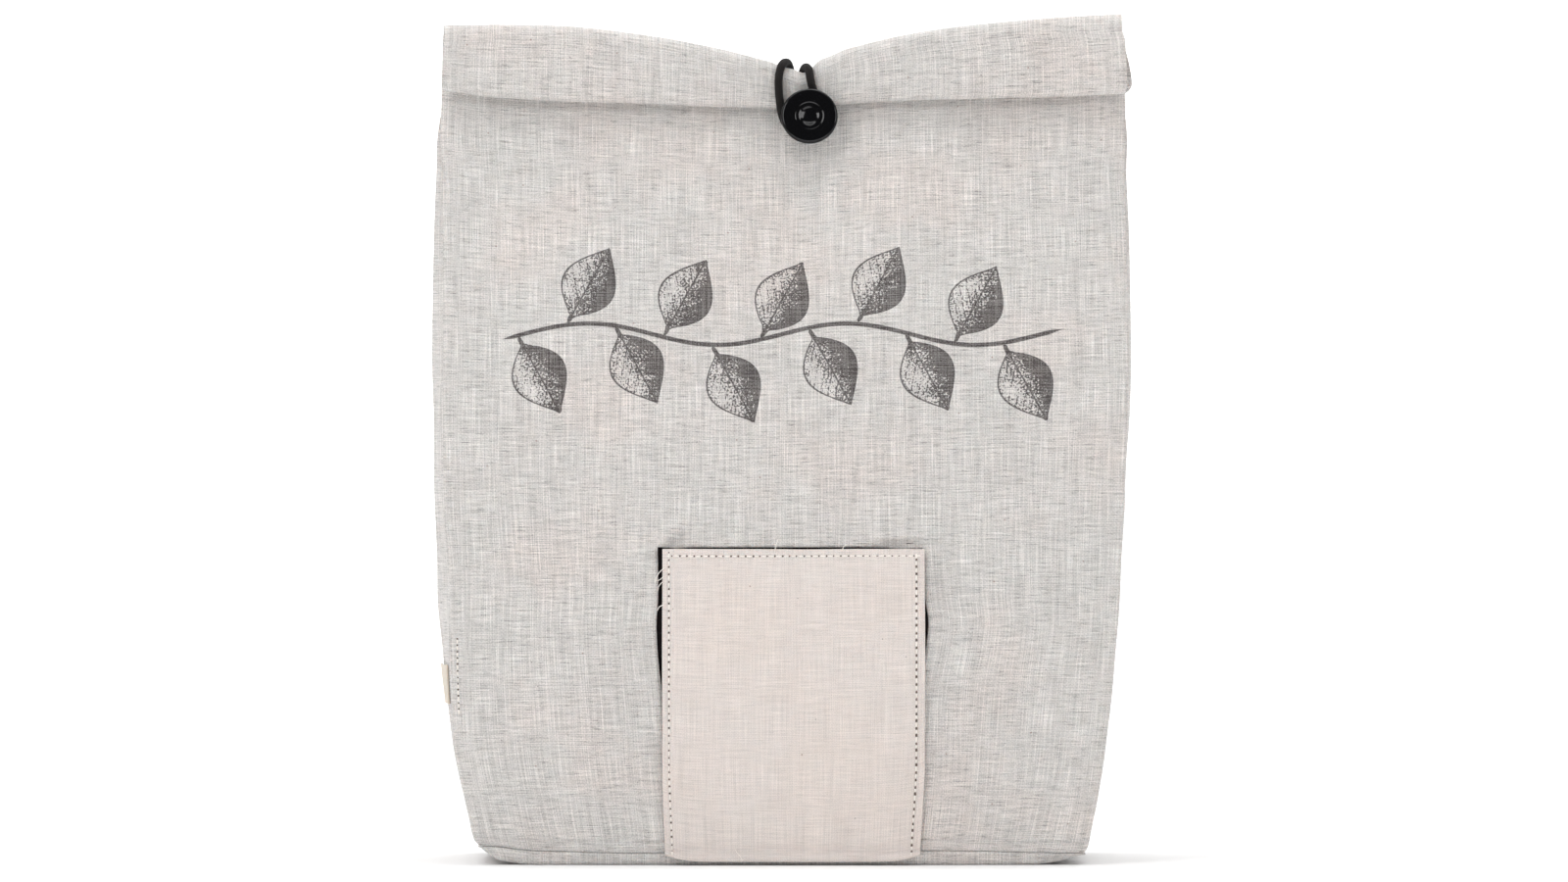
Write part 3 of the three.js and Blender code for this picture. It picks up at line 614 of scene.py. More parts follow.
# %% The hatch and its flap in numbers
FLAP_WIDTH, FLAP_TOP, FLAP_ACROSS, DRAWN_LEFT, DRAWN_RIGHT = 97.4, 117.2, 4.4, 1.3, 1.9
FLAP_FOOT, FLAP_CORNER_LIFT, FLAP_GAP = 1.3, 3.2, 0.5
HATCH_REVEAL, HATCH_TOP_REVEAL, HATCH_SILL = 2.2, 0.9, 9
HATCH_EDGES = {
    "rise":  [0, 0.45, 0.56, 0.66, 0.75, 0.84, 1],
    "left":  [-1.6, -0.3, 0.3, 0.8, 1, 0.7, 0.75],
    "right": [-1.8, -1.3, -0.8, 0.2, 0.75, 0.1, -0.4],
}
hatch_top = FLAP_TOP + HATCH_TOP_REVEAL
print("The hatch reaches", round(hatch_top, 1), "mm up")


def flap_x(side, z):
    drawn = (DRAWN_LEFT if side < 0 else DRAWN_RIGHT) * (1 - eased(z, 0, 40))
    return FLAP_ACROSS + side * (FLAP_WIDTH / 2 - drawn)


def flap_foot(share):
    """Height of the flap's lower edge, which is rounded off at both corners."""
    return FLAP_FOOT + FLAP_CORNER_LIFT * (2 * share - 1) ** 10


def hatch_x(side, z):
    rise = np.clip((z - HATCH_SILL) / (FLAP_TOP - HATCH_SILL), 0, 1)
    shown = value_at(HATCH_EDGES, "rise", "left" if side < 0 else "right", rise)
    return flap_x(side, np.minimum(z, FLAP_TOP)) + side * HATCH_REVEAL * shown


# %% [markdown]
# ## The print
# A band of charcoal ink runs across the upper front. Here it is a leafy vine, drawn as a screen
# print would be: fine lines, and dots that stand closer where a leaf is darker. The vine's form
# is worked out at each point of the cloth and kept as five marks. The material turns the marks
# into lines and dots, which stay sharp at any distance.

# %% Where the leaves lie
PRINT_MIDDLE, PRINT_REACH = 197, 104
VINE_WAVE, VINE_LENGTH, VINE_HALF, OUTSIDE = 4, 96, 0.85, -3
LEAF_LENGTH, LEAF_WIDTH, LEAF_STALK, LEAF_APART, LEAF_LEAN = 28.5, 20, 4, 18, math.radians(61)


def vine_z(x):
    return PRINT_MIDDLE + VINE_WAVE * np.sin(2 * math.pi * x / VINE_LENGTH)


def leaf_marks(x, z):
    """For each point: half the width of the nearest leaf there, the distances from its middle
    line and along it, and the vine's half width and the distance from it. All are in mm."""
    nearest = np.full_like(x, np.inf)
    half, side, along = np.full_like(x, OUTSIDE), 0 * x, 0 * x
    for number, stem in enumerate(np.arange(6 - PRINT_REACH, PRINT_REACH - 18, LEAF_APART)):
        dx, dz = x - stem, (z - vine_z(stem)) * (1 if number % 2 else -1)
        a = dx * math.cos(LEAF_LEAN) + dz * math.sin(LEAF_LEAN) - LEAF_STALK
        b = dz * math.cos(LEAF_LEAN) - dx * math.sin(LEAF_LEAN)
        t = np.clip(a / LEAF_LENGTH, 0, 1)
        blade = np.where(a > 0, LEAF_WIDTH / 2 * np.sin(math.pi * t ** 0.85) ** 1.05, OUTSIDE)
        stalk = 0.45 - np.maximum(1.2 - LEAF_STALK - a, 0)
        blade = np.maximum(blade, stalk) - 1.5 * np.maximum(a - LEAF_LENGTH, 0)
        away = np.hypot(np.abs(b), a - np.clip(a, -LEAF_STALK, LEAF_LENGTH)) - np.maximum(blade, 0)
        nearer = away < nearest
        nearest = np.where(nearer, away, nearest)
        pairs = ((blade, half), (b, side), (a, along))
        half, side, along = (np.where(nearer, new, old) for new, old in pairs)
    half = np.where(nearest > -OUTSIDE, OUTSIDE, np.maximum(half, OUTSIDE))
    vine_half = np.clip(VINE_HALF * (PRINT_REACH - np.abs(x)) / 5, OUTSIDE, VINE_HALF)
    return {"leaf half": half, "leaf side": side, "leaf along": along,
            "vine half": vine_half, "from vine": z - vine_z(x)}


# %% Charcoal ink on the linen
VEIN_APART, DOT_MM, PATCHY_MM = 4.4, 0.75, 5


def charcoal_print(tree, colour, yarn_tone_and_shade):
    """Ink over the cloth: an outline, a midrib, side veins and dots."""
    half, side, along, vine_half, from_vine = (
        add(tree, "Attribute", {"attribute_name": name}).outputs["Fac"]
        for name in ("leaf half", "leaf side", "leaf along", "vine half", "from vine")
    )
    off = add(tree, "Math ABSOLUTE", {0: side})
    edge = add(tree, "Math SUBTRACT", {0: half, 1: off})
    from_edge = add(tree, "Math ABSOLUTE", {0: edge})
    inside = add(tree, "MapRange", {"From Min": -0.1, "From Max": 0.15, "Value": edge})
    outline = add(tree, "MapRange", {"From Min": 0.46, "From Max": 0.24, "Value": from_edge})
    midrib = add(tree, "MapRange", {"From Min": 0.42, "From Max": 0.22, "Value": off})
    slant = add(tree, "Math MULTIPLY_ADD", {0: off, 1: -1.2, 2: along})
    turn = add(tree, "Math MULTIPLY", {0: slant, 1: 2 * math.pi / VEIN_APART})
    wave = add(tree, "Math SINE", {0: turn})
    veins = add(tree, "MapRange", {"From Min": 0.82, "From Max": 0.97, "To Max": 0.4, "Value": wave})
    shade = add(tree, "MapRange", {
        "From Min": -7, "From Max": 6.5, "To Min": 1.15, "To Max": 0.08, "Value": side})
    rim = add(tree, "MapRange", {
        "From Min": 0, "From Max": 2.4, "To Min": 0.3, "To Max": 0, "Value": edge})
    cloth_map = add(tree, "UVMap", {"uv_map": "cloth"})
    grain = add(tree, "TexNoise", {
        "noise_dimensions": "2D", "Scale": 1 / (DOT_MM * MM), "Detail": 2, "Vector": cloth_map})
    patchy = add(tree, "TexNoise", {
        "noise_dimensions": "2D", "Scale": 1 / (PATCHY_MM * MM), "Detail": 1, "Vector": cloth_map})
    level = add(tree, "MapRange", {"From Min": 0.33, "From Max": 0.67, "Value": grain})
    uneven = add(tree, "MapRange", {
        "From Min": 0.3, "From Max": 0.7, "To Min": -0.18, "To Max": 0.18, "Value": patchy})
    tone = shade
    for part in (rim, veins, uneven):
        tone = add(tree, "Math ADD", {0: tone, 1: part})
    spare = add(tree, "Math SUBTRACT", {0: tone, 1: level})
    dots = add(tree, "MapRange", {"From Min": -0.05, "From Max": 0.08, "To Max": 0.97, "Value": spare})
    ink = add(tree, "Math MAXIMUM", {0: dots, 1: midrib})
    ink = add(tree, "Math MULTIPLY", {0: ink, 1: inside})
    vine_off = add(tree, "Math ABSOLUTE", {0: from_vine})
    vine_edge = add(tree, "Math SUBTRACT", {0: vine_half, 1: vine_off})
    vine = add(tree, "MapRange", {"From Min": -0.1, "From Max": 0.15, "Value": vine_edge})
    for line in (outline, vine):
        ink = add(tree, "Math MAXIMUM", {0: ink, 1: line})
    hold = add(tree, "MapRange", {
        "From Min": 0.85, "From Max": 1.15, "To Min": 1, "To Max": 0.78, "Value": yarn_tone_and_shade})
    share = add(tree, "Math MULTIPLY", {0: ink, 1: hold})
    mixed = add(tree, "Mix", {"data_type": "RGBA", 0: share, 6: colour, 7: paint("#4b4645")})
    return mixed.outputs[2]


printed_linen = cloth_material("printed linen-cotton", **linen_look, seed=3, printed=charcoal_print)

# %% [markdown]
# ## The front cloth
# One piece of cloth runs from the base seam up to the neck and on into the roll. The grid's
# columns follow the hatch's cut edges, so the hole is left out cleanly. Near each seam the cloth
# turns in, as it does where a seam pulls it.

# %% The roll's rows
ROLL_ROWS = [(0, 1, 15), (1, 2, 16), (2, 3, 16), (3, 4, 12), (4, 5, 14)]
GATHER_REACH, GATHER_APART = 15, 9.5


def roll_legs():
    parts = [np.linspace(start, end, count + 1)[1:] for start, end, count in ROLL_ROWS]
    return np.concatenate(parts)


def lumps(x, leg):
    """The roll's soft lumps: gathers by the button, and slow waves over the rest."""
    near = bell(x - BUTTON_ACROSS, GATHER_REACH)
    gathers = 0.55 * near * (1 + np.cos(2 * math.pi * (x - 5.2) / GATHER_APART)) / 2
    waves = 0.35 * (1 - near) * ripple(x, leg * 24, 46, 5)
    return (gathers + waves) * eased(leg, 0.6, 1.3) * (1 - eased(leg, 3.4, 3.9))


def roll_grid(share, off):
    leg = roll_legs()[:, None] + 0 * share
    left = -half_width * value_at(ROLL_ENDS, "leg", "left", leg)
    right = half_width * value_at(ROLL_ENDS, "leg", "right", leg)
    x = between(left, right, share)
    return on_roll(x, leg, off + lumps(x, leg))


# %% How the front cloth stands out
def front_relief(x, z):
    """How far the front cloth stands out from its plain surface, in mm."""
    rise = np.clip((z - BASE_RISE) / (neck_z(x) - BASE_RISE), 0, 1)
    from_seam = np.minimum(x - seam_x(-1, rise), seam_x(1, rise) - x)
    quiet = eased(from_seam, 0, 14) * (1 - eased(rise, 0.94, 1)) * eased(z, BASE_RISE, 20)
    raised = fold_height(x, z) * eased(from_seam, 0, 8)
    raised += quiet * (0.6 * ripple(x, z, 60, 11) + 0.18 * ripple(x, z, 17, 23))
    behind_flap = eased(x, flap_x(-1, z) - 1, flap_x(-1, z) + 3)
    behind_flap = behind_flap * (1 - eased(x, flap_x(1, z) - 3, flap_x(1, z) + 1))
    raised -= 0.7 * behind_flap * (1 - eased(z, FLAP_TOP - 3, FLAP_TOP + 1))
    raised -= tucked(from_seam, SIDE_TUCK) * (1 - eased(rise, 0.96, 1))
    return raised - tucked(z - BASE_RISE, BASE_TUCK)


# %% The front cloth itself
LEFT_OF_HATCH, RIGHT_OF_HATCH = 76, 70


def front_cloth():
    left = steps(0, LEFT_OF_HATCH, 1.7, fine_low=True) / LEFT_OF_HATCH
    middle = np.linspace(0, 1, 60)[1:]
    right = steps(0, RIGHT_OF_HATCH, 1.7, fine_high=True)[1:] / RIGHT_OF_HATCH
    low = steps(BASE_RISE, HATCH_SILL, 1.2, fine_low=True)
    inner = np.linspace(HATCH_SILL, hatch_top, 72)[1:]
    above = np.concatenate([np.linspace(0, 0.075, 15)[1:], np.linspace(0.075, 1, 90)[1:]])

    def places(z_level, rise_share):
        """A row of x and z, through the hatch's edges."""
        z = np.full(1, z_level)
        rise = np.clip((z - BASE_RISE) / (neck_z(np.zeros(1)) - BASE_RISE), 0, 1)
        x = np.concatenate([
            between(seam_x(-1, rise), hatch_x(-1, z), left),
            between(hatch_x(-1, z), hatch_x(1, z), middle),
            between(hatch_x(1, z), seam_x(1, rise), right),
        ])
        if rise_share is None:
            return x, np.full_like(x, z_level)
        return x, between(hatch_top, neck_z(x), rise_share)

    rows = [places(z, None) for z in np.concatenate([low, inner])]
    rows += [places(between(hatch_top, NECK_HEIGHT, share), share) for share in above]
    x, z = (np.stack(part) for part in zip(*rows))
    body = settled(inside_panel(-1, x, z, -front_relief(x, z)))
    across = (x[-1] - x[-1, 0]) / (x[-1, -1] - x[-1, 0])
    points = np.concatenate([body, roll_grid(across[None, :], -neck_depth)])
    keep = np.ones((points.shape[0] - 1, points.shape[1] - 1), bool)
    keep[len(low) - 1:len(low) + len(inner) - 1, len(left) - 1:len(left) + len(middle) - 1] = False
    # The roll's rows count as far above the print, so that none of it shows there.
    far = top_z(x[-1:]) + ROLL_HEIGHT + np.zeros((len(points) - len(x), 1))
    marks = leaf_marks(np.concatenate([x, far * 0 + x[-1:]]), np.concatenate([z, far]))
    return grid_mesh("front cloth", points, keep, marks)


front = new_piece("front_cloth", front_cloth(), printed_linen, "outer_cloth", "front_panel")
thicken(front, SHELL)

# %% Back cloth
def back_cloth():
    share = steps(0, 250, 1.75, fine_low=True, fine_high=True) / 250
    levels = steps(0, body_height, 1.9, fine_low=True) / body_height
    rise = levels[:, None] + 0 * share
    x = between(seam_x(-1, rise), seam_x(1, rise), share)
    z = between(BASE_RISE, neck_z(x), rise)
    from_seam = np.minimum(x - seam_x(-1, rise), seam_x(1, rise) - x)
    quiet = eased(from_seam, 0, 14) * (1 - eased(rise, 0.94, 1)) * eased(z, BASE_RISE, 20)
    raised = quiet * (0.7 * ripple(x, z, 64, 31) + 0.16 * ripple(x, z, 18, 37))
    raised -= tucked(from_seam, SIDE_TUCK) * (1 - eased(rise, 0.96, 1)) + tucked(z - BASE_RISE, BASE_TUCK)
    body = settled(inside_panel(1, x, z, -raised))
    points = np.concatenate([body, roll_grid(share[None, :], neck_depth)])
    return grid_mesh("back cloth", points[:, ::-1])


back = new_piece("back_cloth", back_cloth(), linen, "outer_cloth", "back_panel")
thicken(back, SHELL)

# %% [markdown]
# ## The side gussets
# A gusset keeps its width of cloth all the way up, while the panels close above it. So it folds
# inwards in a deepening pleat, as the side of a paper bag does. The depth of the pleat follows
# from the width of cloth and the room that is left.

# %% Gussets
GUSSET_TOP = 0.97


def gusset_points(side, share, rise):
    cloth_width = max(depth_at("seam", r) for r in SECTIONS["rise"]) - CLOTH - SEAM_GAP
    seam = seam_x(side, rise)
    z = between(BASE_RISE, neck_z(seam), rise)
    front_edge, back_edge = (inside_panel(face, seam, z, CLOTH + SEAM_GAP + 0 * z) for face in (-1, 1))
    points = front_edge + (back_edge - front_edge) * (share[..., None] + 1) / 2
    span = (back_edge - front_edge)[..., 1] / 2
    fold = np.sqrt(np.maximum(0, cloth_width ** 2 - span ** 2)) * eased(rise, FOLD_START, FOLD_FULL)
    in_fold = np.maximum(0, 1 - np.abs(share) / FOLD_MOUTH) ** FOLD_POWER
    puff = half_depth * value_at(SECTIONS, "rise", "puffL" if side < 0 else "puffR", rise)
    swell = puff * (1 - np.abs(share) ** PUFF_POWER)
    points[..., 0] = seam + side * (swell - fold * in_fold)
    return points, span


def gusset_cloth(side):
    share = steps(0, 94, 1.7, fine_low=True, fine_high=True) / 47 - 1
    levels = steps(0, 268, 2, fine_low=True) / 268 * GUSSET_TOP
    share, rise = np.meshgrid(share, levels)
    points, span = gusset_points(side, share, rise)
    from_seam = (1 - np.abs(share)) * span
    turn_in = tucked(from_seam, SIDE_TUCK) + tucked(rise * body_height, BASE_TUCK)
    soft = 0.6 * ripple(points[..., 1], points[..., 2], 38, 43 + side) * eased(from_seam, 0, 9)
    points[..., 0] += side * (soft * eased(rise, 0, 0.08) * (1 - eased(rise, 0.5, 0.75)) - turn_in)
    points = settled(points)
    return grid_mesh("gusset", points if side > 0 else points[:, ::-1])


for side, name in ((-1, "left_gusset"), (1, "right_gusset")):
    gusset = new_piece(name + "_cloth", gusset_cloth(side), linen, "outer_cloth", name)
    thicken(gusset, SHELL)

# %% [markdown]
# ## The base
# The base is a shallow tray of the same cloth. Its edge turns up and meets the panels in the seam
# that shows as a line just over the floor. Its underside is flat, because the bag stands on it.

# %% Base
BASE_RINGS, CREASE_X, BASE_TURN = 12, -106.5, 3.4


def base_cloth():
    wall = BASE_RISE - 0.1
    rings = np.arange(BASE_RINGS + 1)

    def side(count):
        """Ring from the nearer edge and share of the middle, for each line of the grid."""
        middle = np.linspace(0, 1, count + 1)
        ring = np.concatenate([rings, np.full(count - 1, BASE_RINGS), rings[::-1]])
        share = np.concatenate([0 * rings, middle[1:-1], 0 * rings + 1])
        return ring, share

    (ring_u, share_u), (ring_v, share_v) = side(90), side(36)
    ring_u, ring_v = np.meshgrid(ring_u, ring_v)
    share_u, share_v = np.meshgrid(share_u, share_v)

    def inset(ring, reach):
        return reach * (1 - np.cos(ring / BASE_RINGS * np.pi / 2)) + BASE_TUCK * (ring == 0)

    deep = 2 * share_v - 1
    swell = half_depth * (1 - np.abs(deep) ** PUFF_POWER)
    left = seam_x(-1, 0 * deep) - swell * SECTIONS["puffL"][0] + inset(ring_u, BASE_ROUND)
    right = seam_x(1, 0 * deep) + swell * SECTIONS["puffR"][0] - inset(ring_u, BASE_ROUND)
    x = between(left, right, share_u)
    back_y = panel_y(1, x, BASE_RISE + 0 * x) - inset(ring_v, BASE_TURN)
    front_y = panel_y(-1, x, BASE_RISE + 0 * x) + inset(ring_v, BASE_TURN)
    ring = np.minimum(ring_u, ring_v)
    z = wall * (1 - np.sin(ring / BASE_RINGS * np.pi / 2))
    y = between(back_y, front_y, share_v)
    # A slanting crease near the left corner, where the base is folded under.
    crease = (x - CREASE_X) * 0.82 - (z - 4.5) * 0.57
    y = y - 0.9 * eased(crease, -0.5, 0.5) * (1 - eased(crease, 0.5, 9)) * eased(-y, 20, 34)
    return grid_mesh("base cloth", settled(np.stack([x, y, z], axis=-1)))


base = new_piece("base_cloth", base_cloth(), linen, "outer_cloth", "base_panel")
thicken(base, SHELL)

# %% [markdown]
# ## The hatch: black lining and cream flap
# Behind the cut edges lies a black lining, which shows as a thin dark line round the flap. The
# flap is two layers of a finer cotton, turned and topstitched. Its edge is a soft fold, so it gets
# a small bevel, and the cloth dips a little where the stitches pull it.

# %% Lining
LINING_GAP, LINING_OVERLAP, LINING_LIP = 0.5, 12, 9
FASTENER_HEIGHT, FASTENER_INSET, FASTENER_MARGIN = 14, 6, 2


def lining_cloth():
    low, high = BASE_RISE + SEAM_GAP, hatch_top + LINING_OVERLAP
    left, right = (hatch_x(side, np.float64(FLAP_TOP)) for side in (-1, 1))
    hole_foot, hole_top = HATCH_SILL + LINING_LIP, hatch_top - FASTENER_HEIGHT - 2 * FASTENER_MARGIN
    sill = np.float64(HATCH_SILL)
    hole_left, hole_right = (hatch_x(side, sill) - side * LINING_LIP for side in (-1, 1))
    xs = np.concatenate([
        steps(left - LINING_OVERLAP, hole_left, 2), steps(hole_left, hole_right, 4)[1:],
        steps(hole_right, right + LINING_OVERLAP, 2)[1:],
    ])
    zs = np.concatenate([
        steps(low, hole_foot, 2), steps(hole_foot, hole_top, 4)[1:], steps(hole_top, high, 2)[1:],
    ])
    x, z = np.meshgrid(xs, zs)
    points = inside_panel(-1, x, z, CLOTH + LINING_GAP + 0.4 + 0 * x)
    middle_x, middle_z = (x[:-1, :-1] + x[1:, 1:]) / 2, (z[:-1, :-1] + z[1:, 1:]) / 2
    across_hole = (middle_x > hole_left) & (middle_x < hole_right)
    up_hole = (middle_z > hole_foot) & (middle_z < hole_top)
    return grid_mesh("lining", points, ~(across_hole & up_hole))


lining = new_piece("hatch_lining_cloth", lining_cloth(), black, "lining", "hatch_lining")
thicken(lining, 0.8)


# %% Fastener
def fastener_strip():
    left, right = (hatch_x(side, np.float64(FLAP_TOP)) - side * FASTENER_INSET for side in (-1, 1))
    high = hatch_top - FASTENER_MARGIN
    x, z = np.meshgrid(steps(left, right, 3), steps(high - FASTENER_HEIGHT, high, 2))
    return grid_mesh("fastener", inside_panel(-1, x, z, 0.1 + 0 * x))


fastener = new_piece("hatch_fastener_strip", fastener_strip(), black, "lining", "hatch_fastener")
thicken(fastener, 1.2, edge=0.2)

# %% Flap
STITCH_INSET, STITCH_PITCH, FLAP_FACE, FLAP_ROWS = 2.6, 2.7, 1.7, 116


def flap_surface(x, z, lift):
    """Points on the flap's face: it dips at the stitches, has a crease near its right corner,
    and a rolled hem along its foot."""
    edge = np.minimum(np.minimum(x - flap_x(-1, z), flap_x(1, z) - x), FLAP_TOP - z)
    seam_dip = 0.3 * bell(edge - STITCH_INSET, 0.8)
    along = np.where(FLAP_TOP - z < STITCH_INSET + 1, x, z)
    pucker = 0.12 * np.cos(2 * np.pi * along / STITCH_PITCH) * bell(edge - STITCH_INSET, 1.6)
    # The crease slants over the right lower corner, and the hem is a roll with a groove above it.
    crease_a = ((x - 38) * 0.91 + (z - 8.5) * 0.41) / 13
    crease_b = ((z - 8.5) * 0.91 - (x - 38) * 0.41) / 2.6
    crease = 0.9 * crease_b * np.exp(-crease_a ** 2 - crease_b ** 2)
    wave = 0.28 * ripple(x, z, 34, 71) * eased(edge, 0, 10)
    wave = wave + 0.4 * ripple(z, 0 * z, 48, 73) * (1 - eased(edge, 0, 5))
    hem = 0.9 * bell(z - 2.6, 1.7) - 0.8 * bell(z - 6, 1)
    hem -= 0.3 * np.exp(-(((z - 8.2) / 1.1) ** 2) - ((x + 32) / 9) ** 2)
    height = FLAP_GAP + lift - seam_dip - pucker + crease + hem + 0.6 * wave
    return inside_panel(-1, x, z, -height)


def flap_cloth():
    u = steps(0, FLAP_WIDTH, 1.05, fine_low=True, fine_high=True) / FLAP_WIDTH
    v = steps(0, FLAP_ROWS, 1.05, fine_low=True, fine_high=True) / FLAP_ROWS
    u, v = np.meshgrid(u, v)
    z = between(flap_foot(u), FLAP_TOP, v)
    uneven_top = 0.25 * ripple(u * 97, 0 * u, 40, 79) * v
    x = between(flap_x(-1, z), flap_x(1, z), u)
    x = x + 0.45 * ripple(z, 0 * z, 60, 83) * (2 * np.abs(u - 0.5)) ** 6 * np.sign(u - 0.5)
    return grid_mesh("flap", flap_surface(x, z + uneven_top, FLAP_FACE))


flap = new_piece("hatch_flap_cloth", flap_cloth(), cream, "flap_cloth", "hatch_flap")
thicken(flap, 1.5, edge=0.45)

# %% [markdown]
# ## Stitches
# A sewing machine leaves a row of equal stitches, each one sunk into a needle hole at its ends.
# Each hole is drawn as a small dark shape, which is its shade painted in.
# Copying one stitch by hand would be slow, so Geometry Nodes lays one along a line drawn on the
# cloth, a pitch apart. Its inputs are the real sizes, and a fixed seed makes each a little uneven.

# %% One row of stitches
def sewing_nodes():
    tree = bpy.data.node_groups.new("sewn row", "GeometryNodeTree")
    lengths = ("Pitch", "Stitch Length", "Thread Radius", "Hole Radius", "Hole Length")
    inputs = {"Path": "Geometry", "Facing": "Vector", **dict.fromkeys(lengths, "Float"),
              "Seed": "Int", "Thread": "Material", "Hole": "Material"}
    for name, kind in inputs.items():
        tree.interface.new_socket(name, in_out="INPUT", socket_type="NodeSocket" + kind)
    tree.interface.new_socket("Sewing", in_out="OUTPUT", socket_type="NodeSocketGeometry")
    given = add(tree, "NodeGroupInput").outputs
    line = add(tree, "GeometryNodeMeshToCurve", {"Mesh": given["Path"]})
    needle = add(tree, "GeometryNodeCurveToPoints", {
        "mode": "LENGTH", "Curve": line, "Length": given["Pitch"]})
    along = add(tree, "FunctionNodeAlignRotationToVector", {
        "axis": "Z", "Vector": needle.outputs["Tangent"]})
    outward = add(tree, "FunctionNodeAlignRotationToVector", {
        "axis": "X", "pivot_axis": "Z", "Rotation": along, "Vector": given["Facing"]})
    uneven = add(tree, "FunctionNodeRandomValue", {"Seed": given["Seed"], 2: 0.78, 3: 1.12})
    joined = add(tree, "GeometryNodeJoinGeometry")

    def lay(thick, long, flat, shift, material):
        """Lays one rounded shape at each needle step, shifted by a share of the pitch."""
        low = add(tree, "Math MULTIPLY", {0: given[thick], 1: flat})
        half = add(tree, "Math MULTIPLY", {0: given[long], 1: 0.5})
        forward = add(tree, "Math MULTIPLY", {0: given["Pitch"], 1: shift})
        size = add(tree, "CombineXYZ", {"X": low, "Y": given[thick], "Z": half})
        move = add(tree, "CombineXYZ", {"Z": forward})
        ball = add(tree, "GeometryNodeMeshUVSphere", {"Segments": 8, "Rings": 6, "Radius": 1.0})
        shape = add(tree, "GeometryNodeTransform", {"Geometry": ball, "Translation": move, "Scale": size})
        placed = add(tree, "GeometryNodeInstanceOnPoints", {
            "Points": needle, "Instance": shape, "Rotation": outward, "Scale": uneven.outputs[1]})
        real = add(tree, "GeometryNodeRealizeInstances", {"Geometry": placed})
        done = add(tree, "GeometryNodeSetMaterial", {"Geometry": real, "Material": given[material]})
        tree.links.new(done.outputs[0], joined.inputs[0])

    lay("Thread Radius", "Stitch Length", 1, 0, "Thread")
    # The holes are flat dark shapes between the stitches: painted shade.
    lay("Hole Radius", "Hole Length", 0.4, 0.5, "Hole")
    add(tree, "NodeGroupOutput", {"Sewing": joined})
    return tree


sewing = sewing_nodes()
print("A sewn row takes:", [item.name for item in sewing.interface.items_tree])

# %% Thread and the painted shade of the needle holes
STITCH_LENGTH, THREAD_RADIUS, HOLE_RADIUS, HOLE_LENGTH = 2.1, 0.34, 0.38, 0.7
TWIST_MM, FIBRE_MM = 0.4, 1.1  # both coarser than the real ones, so that they show


def thread_material():
    """Twisted cotton: soft and matt. Its colour is lighter where its relief stands higher, a painted
    highlight on top of each turn of the yarn.
    """
    material, tree = new_material("cotton sewing thread")
    place = add(tree, "TexCoord")
    twist_relief_and_highlight = add(tree, "TexNoise", {
        "Scale": 1 / (TWIST_MM * MM), "Detail": 2, "Vector": place.outputs["Object"]})
    # Lighter where the relief is higher: a painted highlight on the yarn's tops.
    tone = add(tree, "ValToRGB", {"Fac": twist_relief_and_highlight})
    tone.color_ramp.elements[0].color = paint("#e6ddd5")
    tone.color_ramp.elements[1].color = paint("#fffaf4")
    bump = add(tree, "Bump", {"Strength": 0.5, "Distance": 0.1 * MM, "Height": twist_relief_and_highlight})
    return finished(material, {
        "Base Color": tone, "Normal": bump, "Roughness": 0.85, "Sheen Weight": 0.1,
    })


def hole_shade_material():
    """Painted shade: the cloth fibres round the needle's way through, drawn dark."""
    material, tree = new_material("needle hole")
    place = add(tree, "TexCoord")
    fibres = add(tree, "TexNoise", {
        "Scale": 1 / (FIBRE_MM * MM), "Detail": 2, "Vector": place.outputs["Object"]})
    tone = add(tree, "ValToRGB", {"Fac": fibres})
    tone.color_ramp.elements[0].color = paint("#3b322f")
    tone.color_ramp.elements[1].color = paint("#86796f")
    return finished(material, {"Base Color": tone, "Roughness": 1.0, "Specular IOR Level": 0.0})


# The needle holes' material is painted shade.
thread, hole_shade = thread_material(), hole_shade_material()
print("Sewn with", thread.name, "every", STITCH_PITCH, "mm")


# %% Sewing along drawn lines
def sew(name, lines, facing, pitch, seed, slot, hole_length=HOLE_LENGTH):
    """Sews along lines, each an array of points in mm, and leaves a plain mesh."""
    points = np.concatenate(lines)
    starts = np.cumsum([0] + [len(line) for line in lines])
    edges = [(i, i + 1) for a, b in zip(starts[:-1], starts[1:]) for i in range(a, b - 1)]
    path = bpy.data.meshes.new(name)
    path.from_pydata((points * MM).tolist(), edges, [])
    drawn = placed(name, path)
    step = drawn.modifiers.new("sewing", "NODES")
    step.node_group = sewing
    values = {"Facing": facing, "Pitch": pitch * MM,
              "Stitch Length": STITCH_LENGTH * MM * pitch / STITCH_PITCH,
              "Thread Radius": THREAD_RADIUS * MM, "Hole Radius": HOLE_RADIUS * MM,
              "Hole Length": hole_length * MM, "Seed": seed, "Thread": thread, "Hole": hole_shade}
    for item in sewing.interface.items_tree:
        if item.name in values:
            step[item.identifier] = values[item.name]
    plain = bpy.data.meshes.new_from_object(drawn.evaluated_get(bpy.context.evaluated_depsgraph_get()))
    bpy.data.objects.remove(drawn)
    return new_piece(name, plain, thread, slot)


# %% The flap's topstitching
def flap_line(u_values, v_values):
    """Points on the flap's face, a stitch's sink above it, from shares across and up."""
    z = between(flap_foot(u_values), FLAP_TOP, v_values)
    x = between(flap_x(-1, z), flap_x(1, z), u_values)
    return flap_surface(x, z, FLAP_FACE + 0.1)


inset_u, inset_v = STITCH_INSET / FLAP_WIDTH, STITCH_INSET / FLAP_TOP
rising = np.linspace(0.012, 1 - inset_v, 180)
crossing_top = np.linspace(inset_u, 1 - inset_u, 160)
flap_rows = [
    flap_line(0 * rising + inset_u, rising),
    flap_line(crossing_top, 0 * crossing_top + 1 - inset_v),
]
sew("flap_stitches", flap_rows, (0, -1, 0), STITCH_PITCH, 4, "flap_cloth")
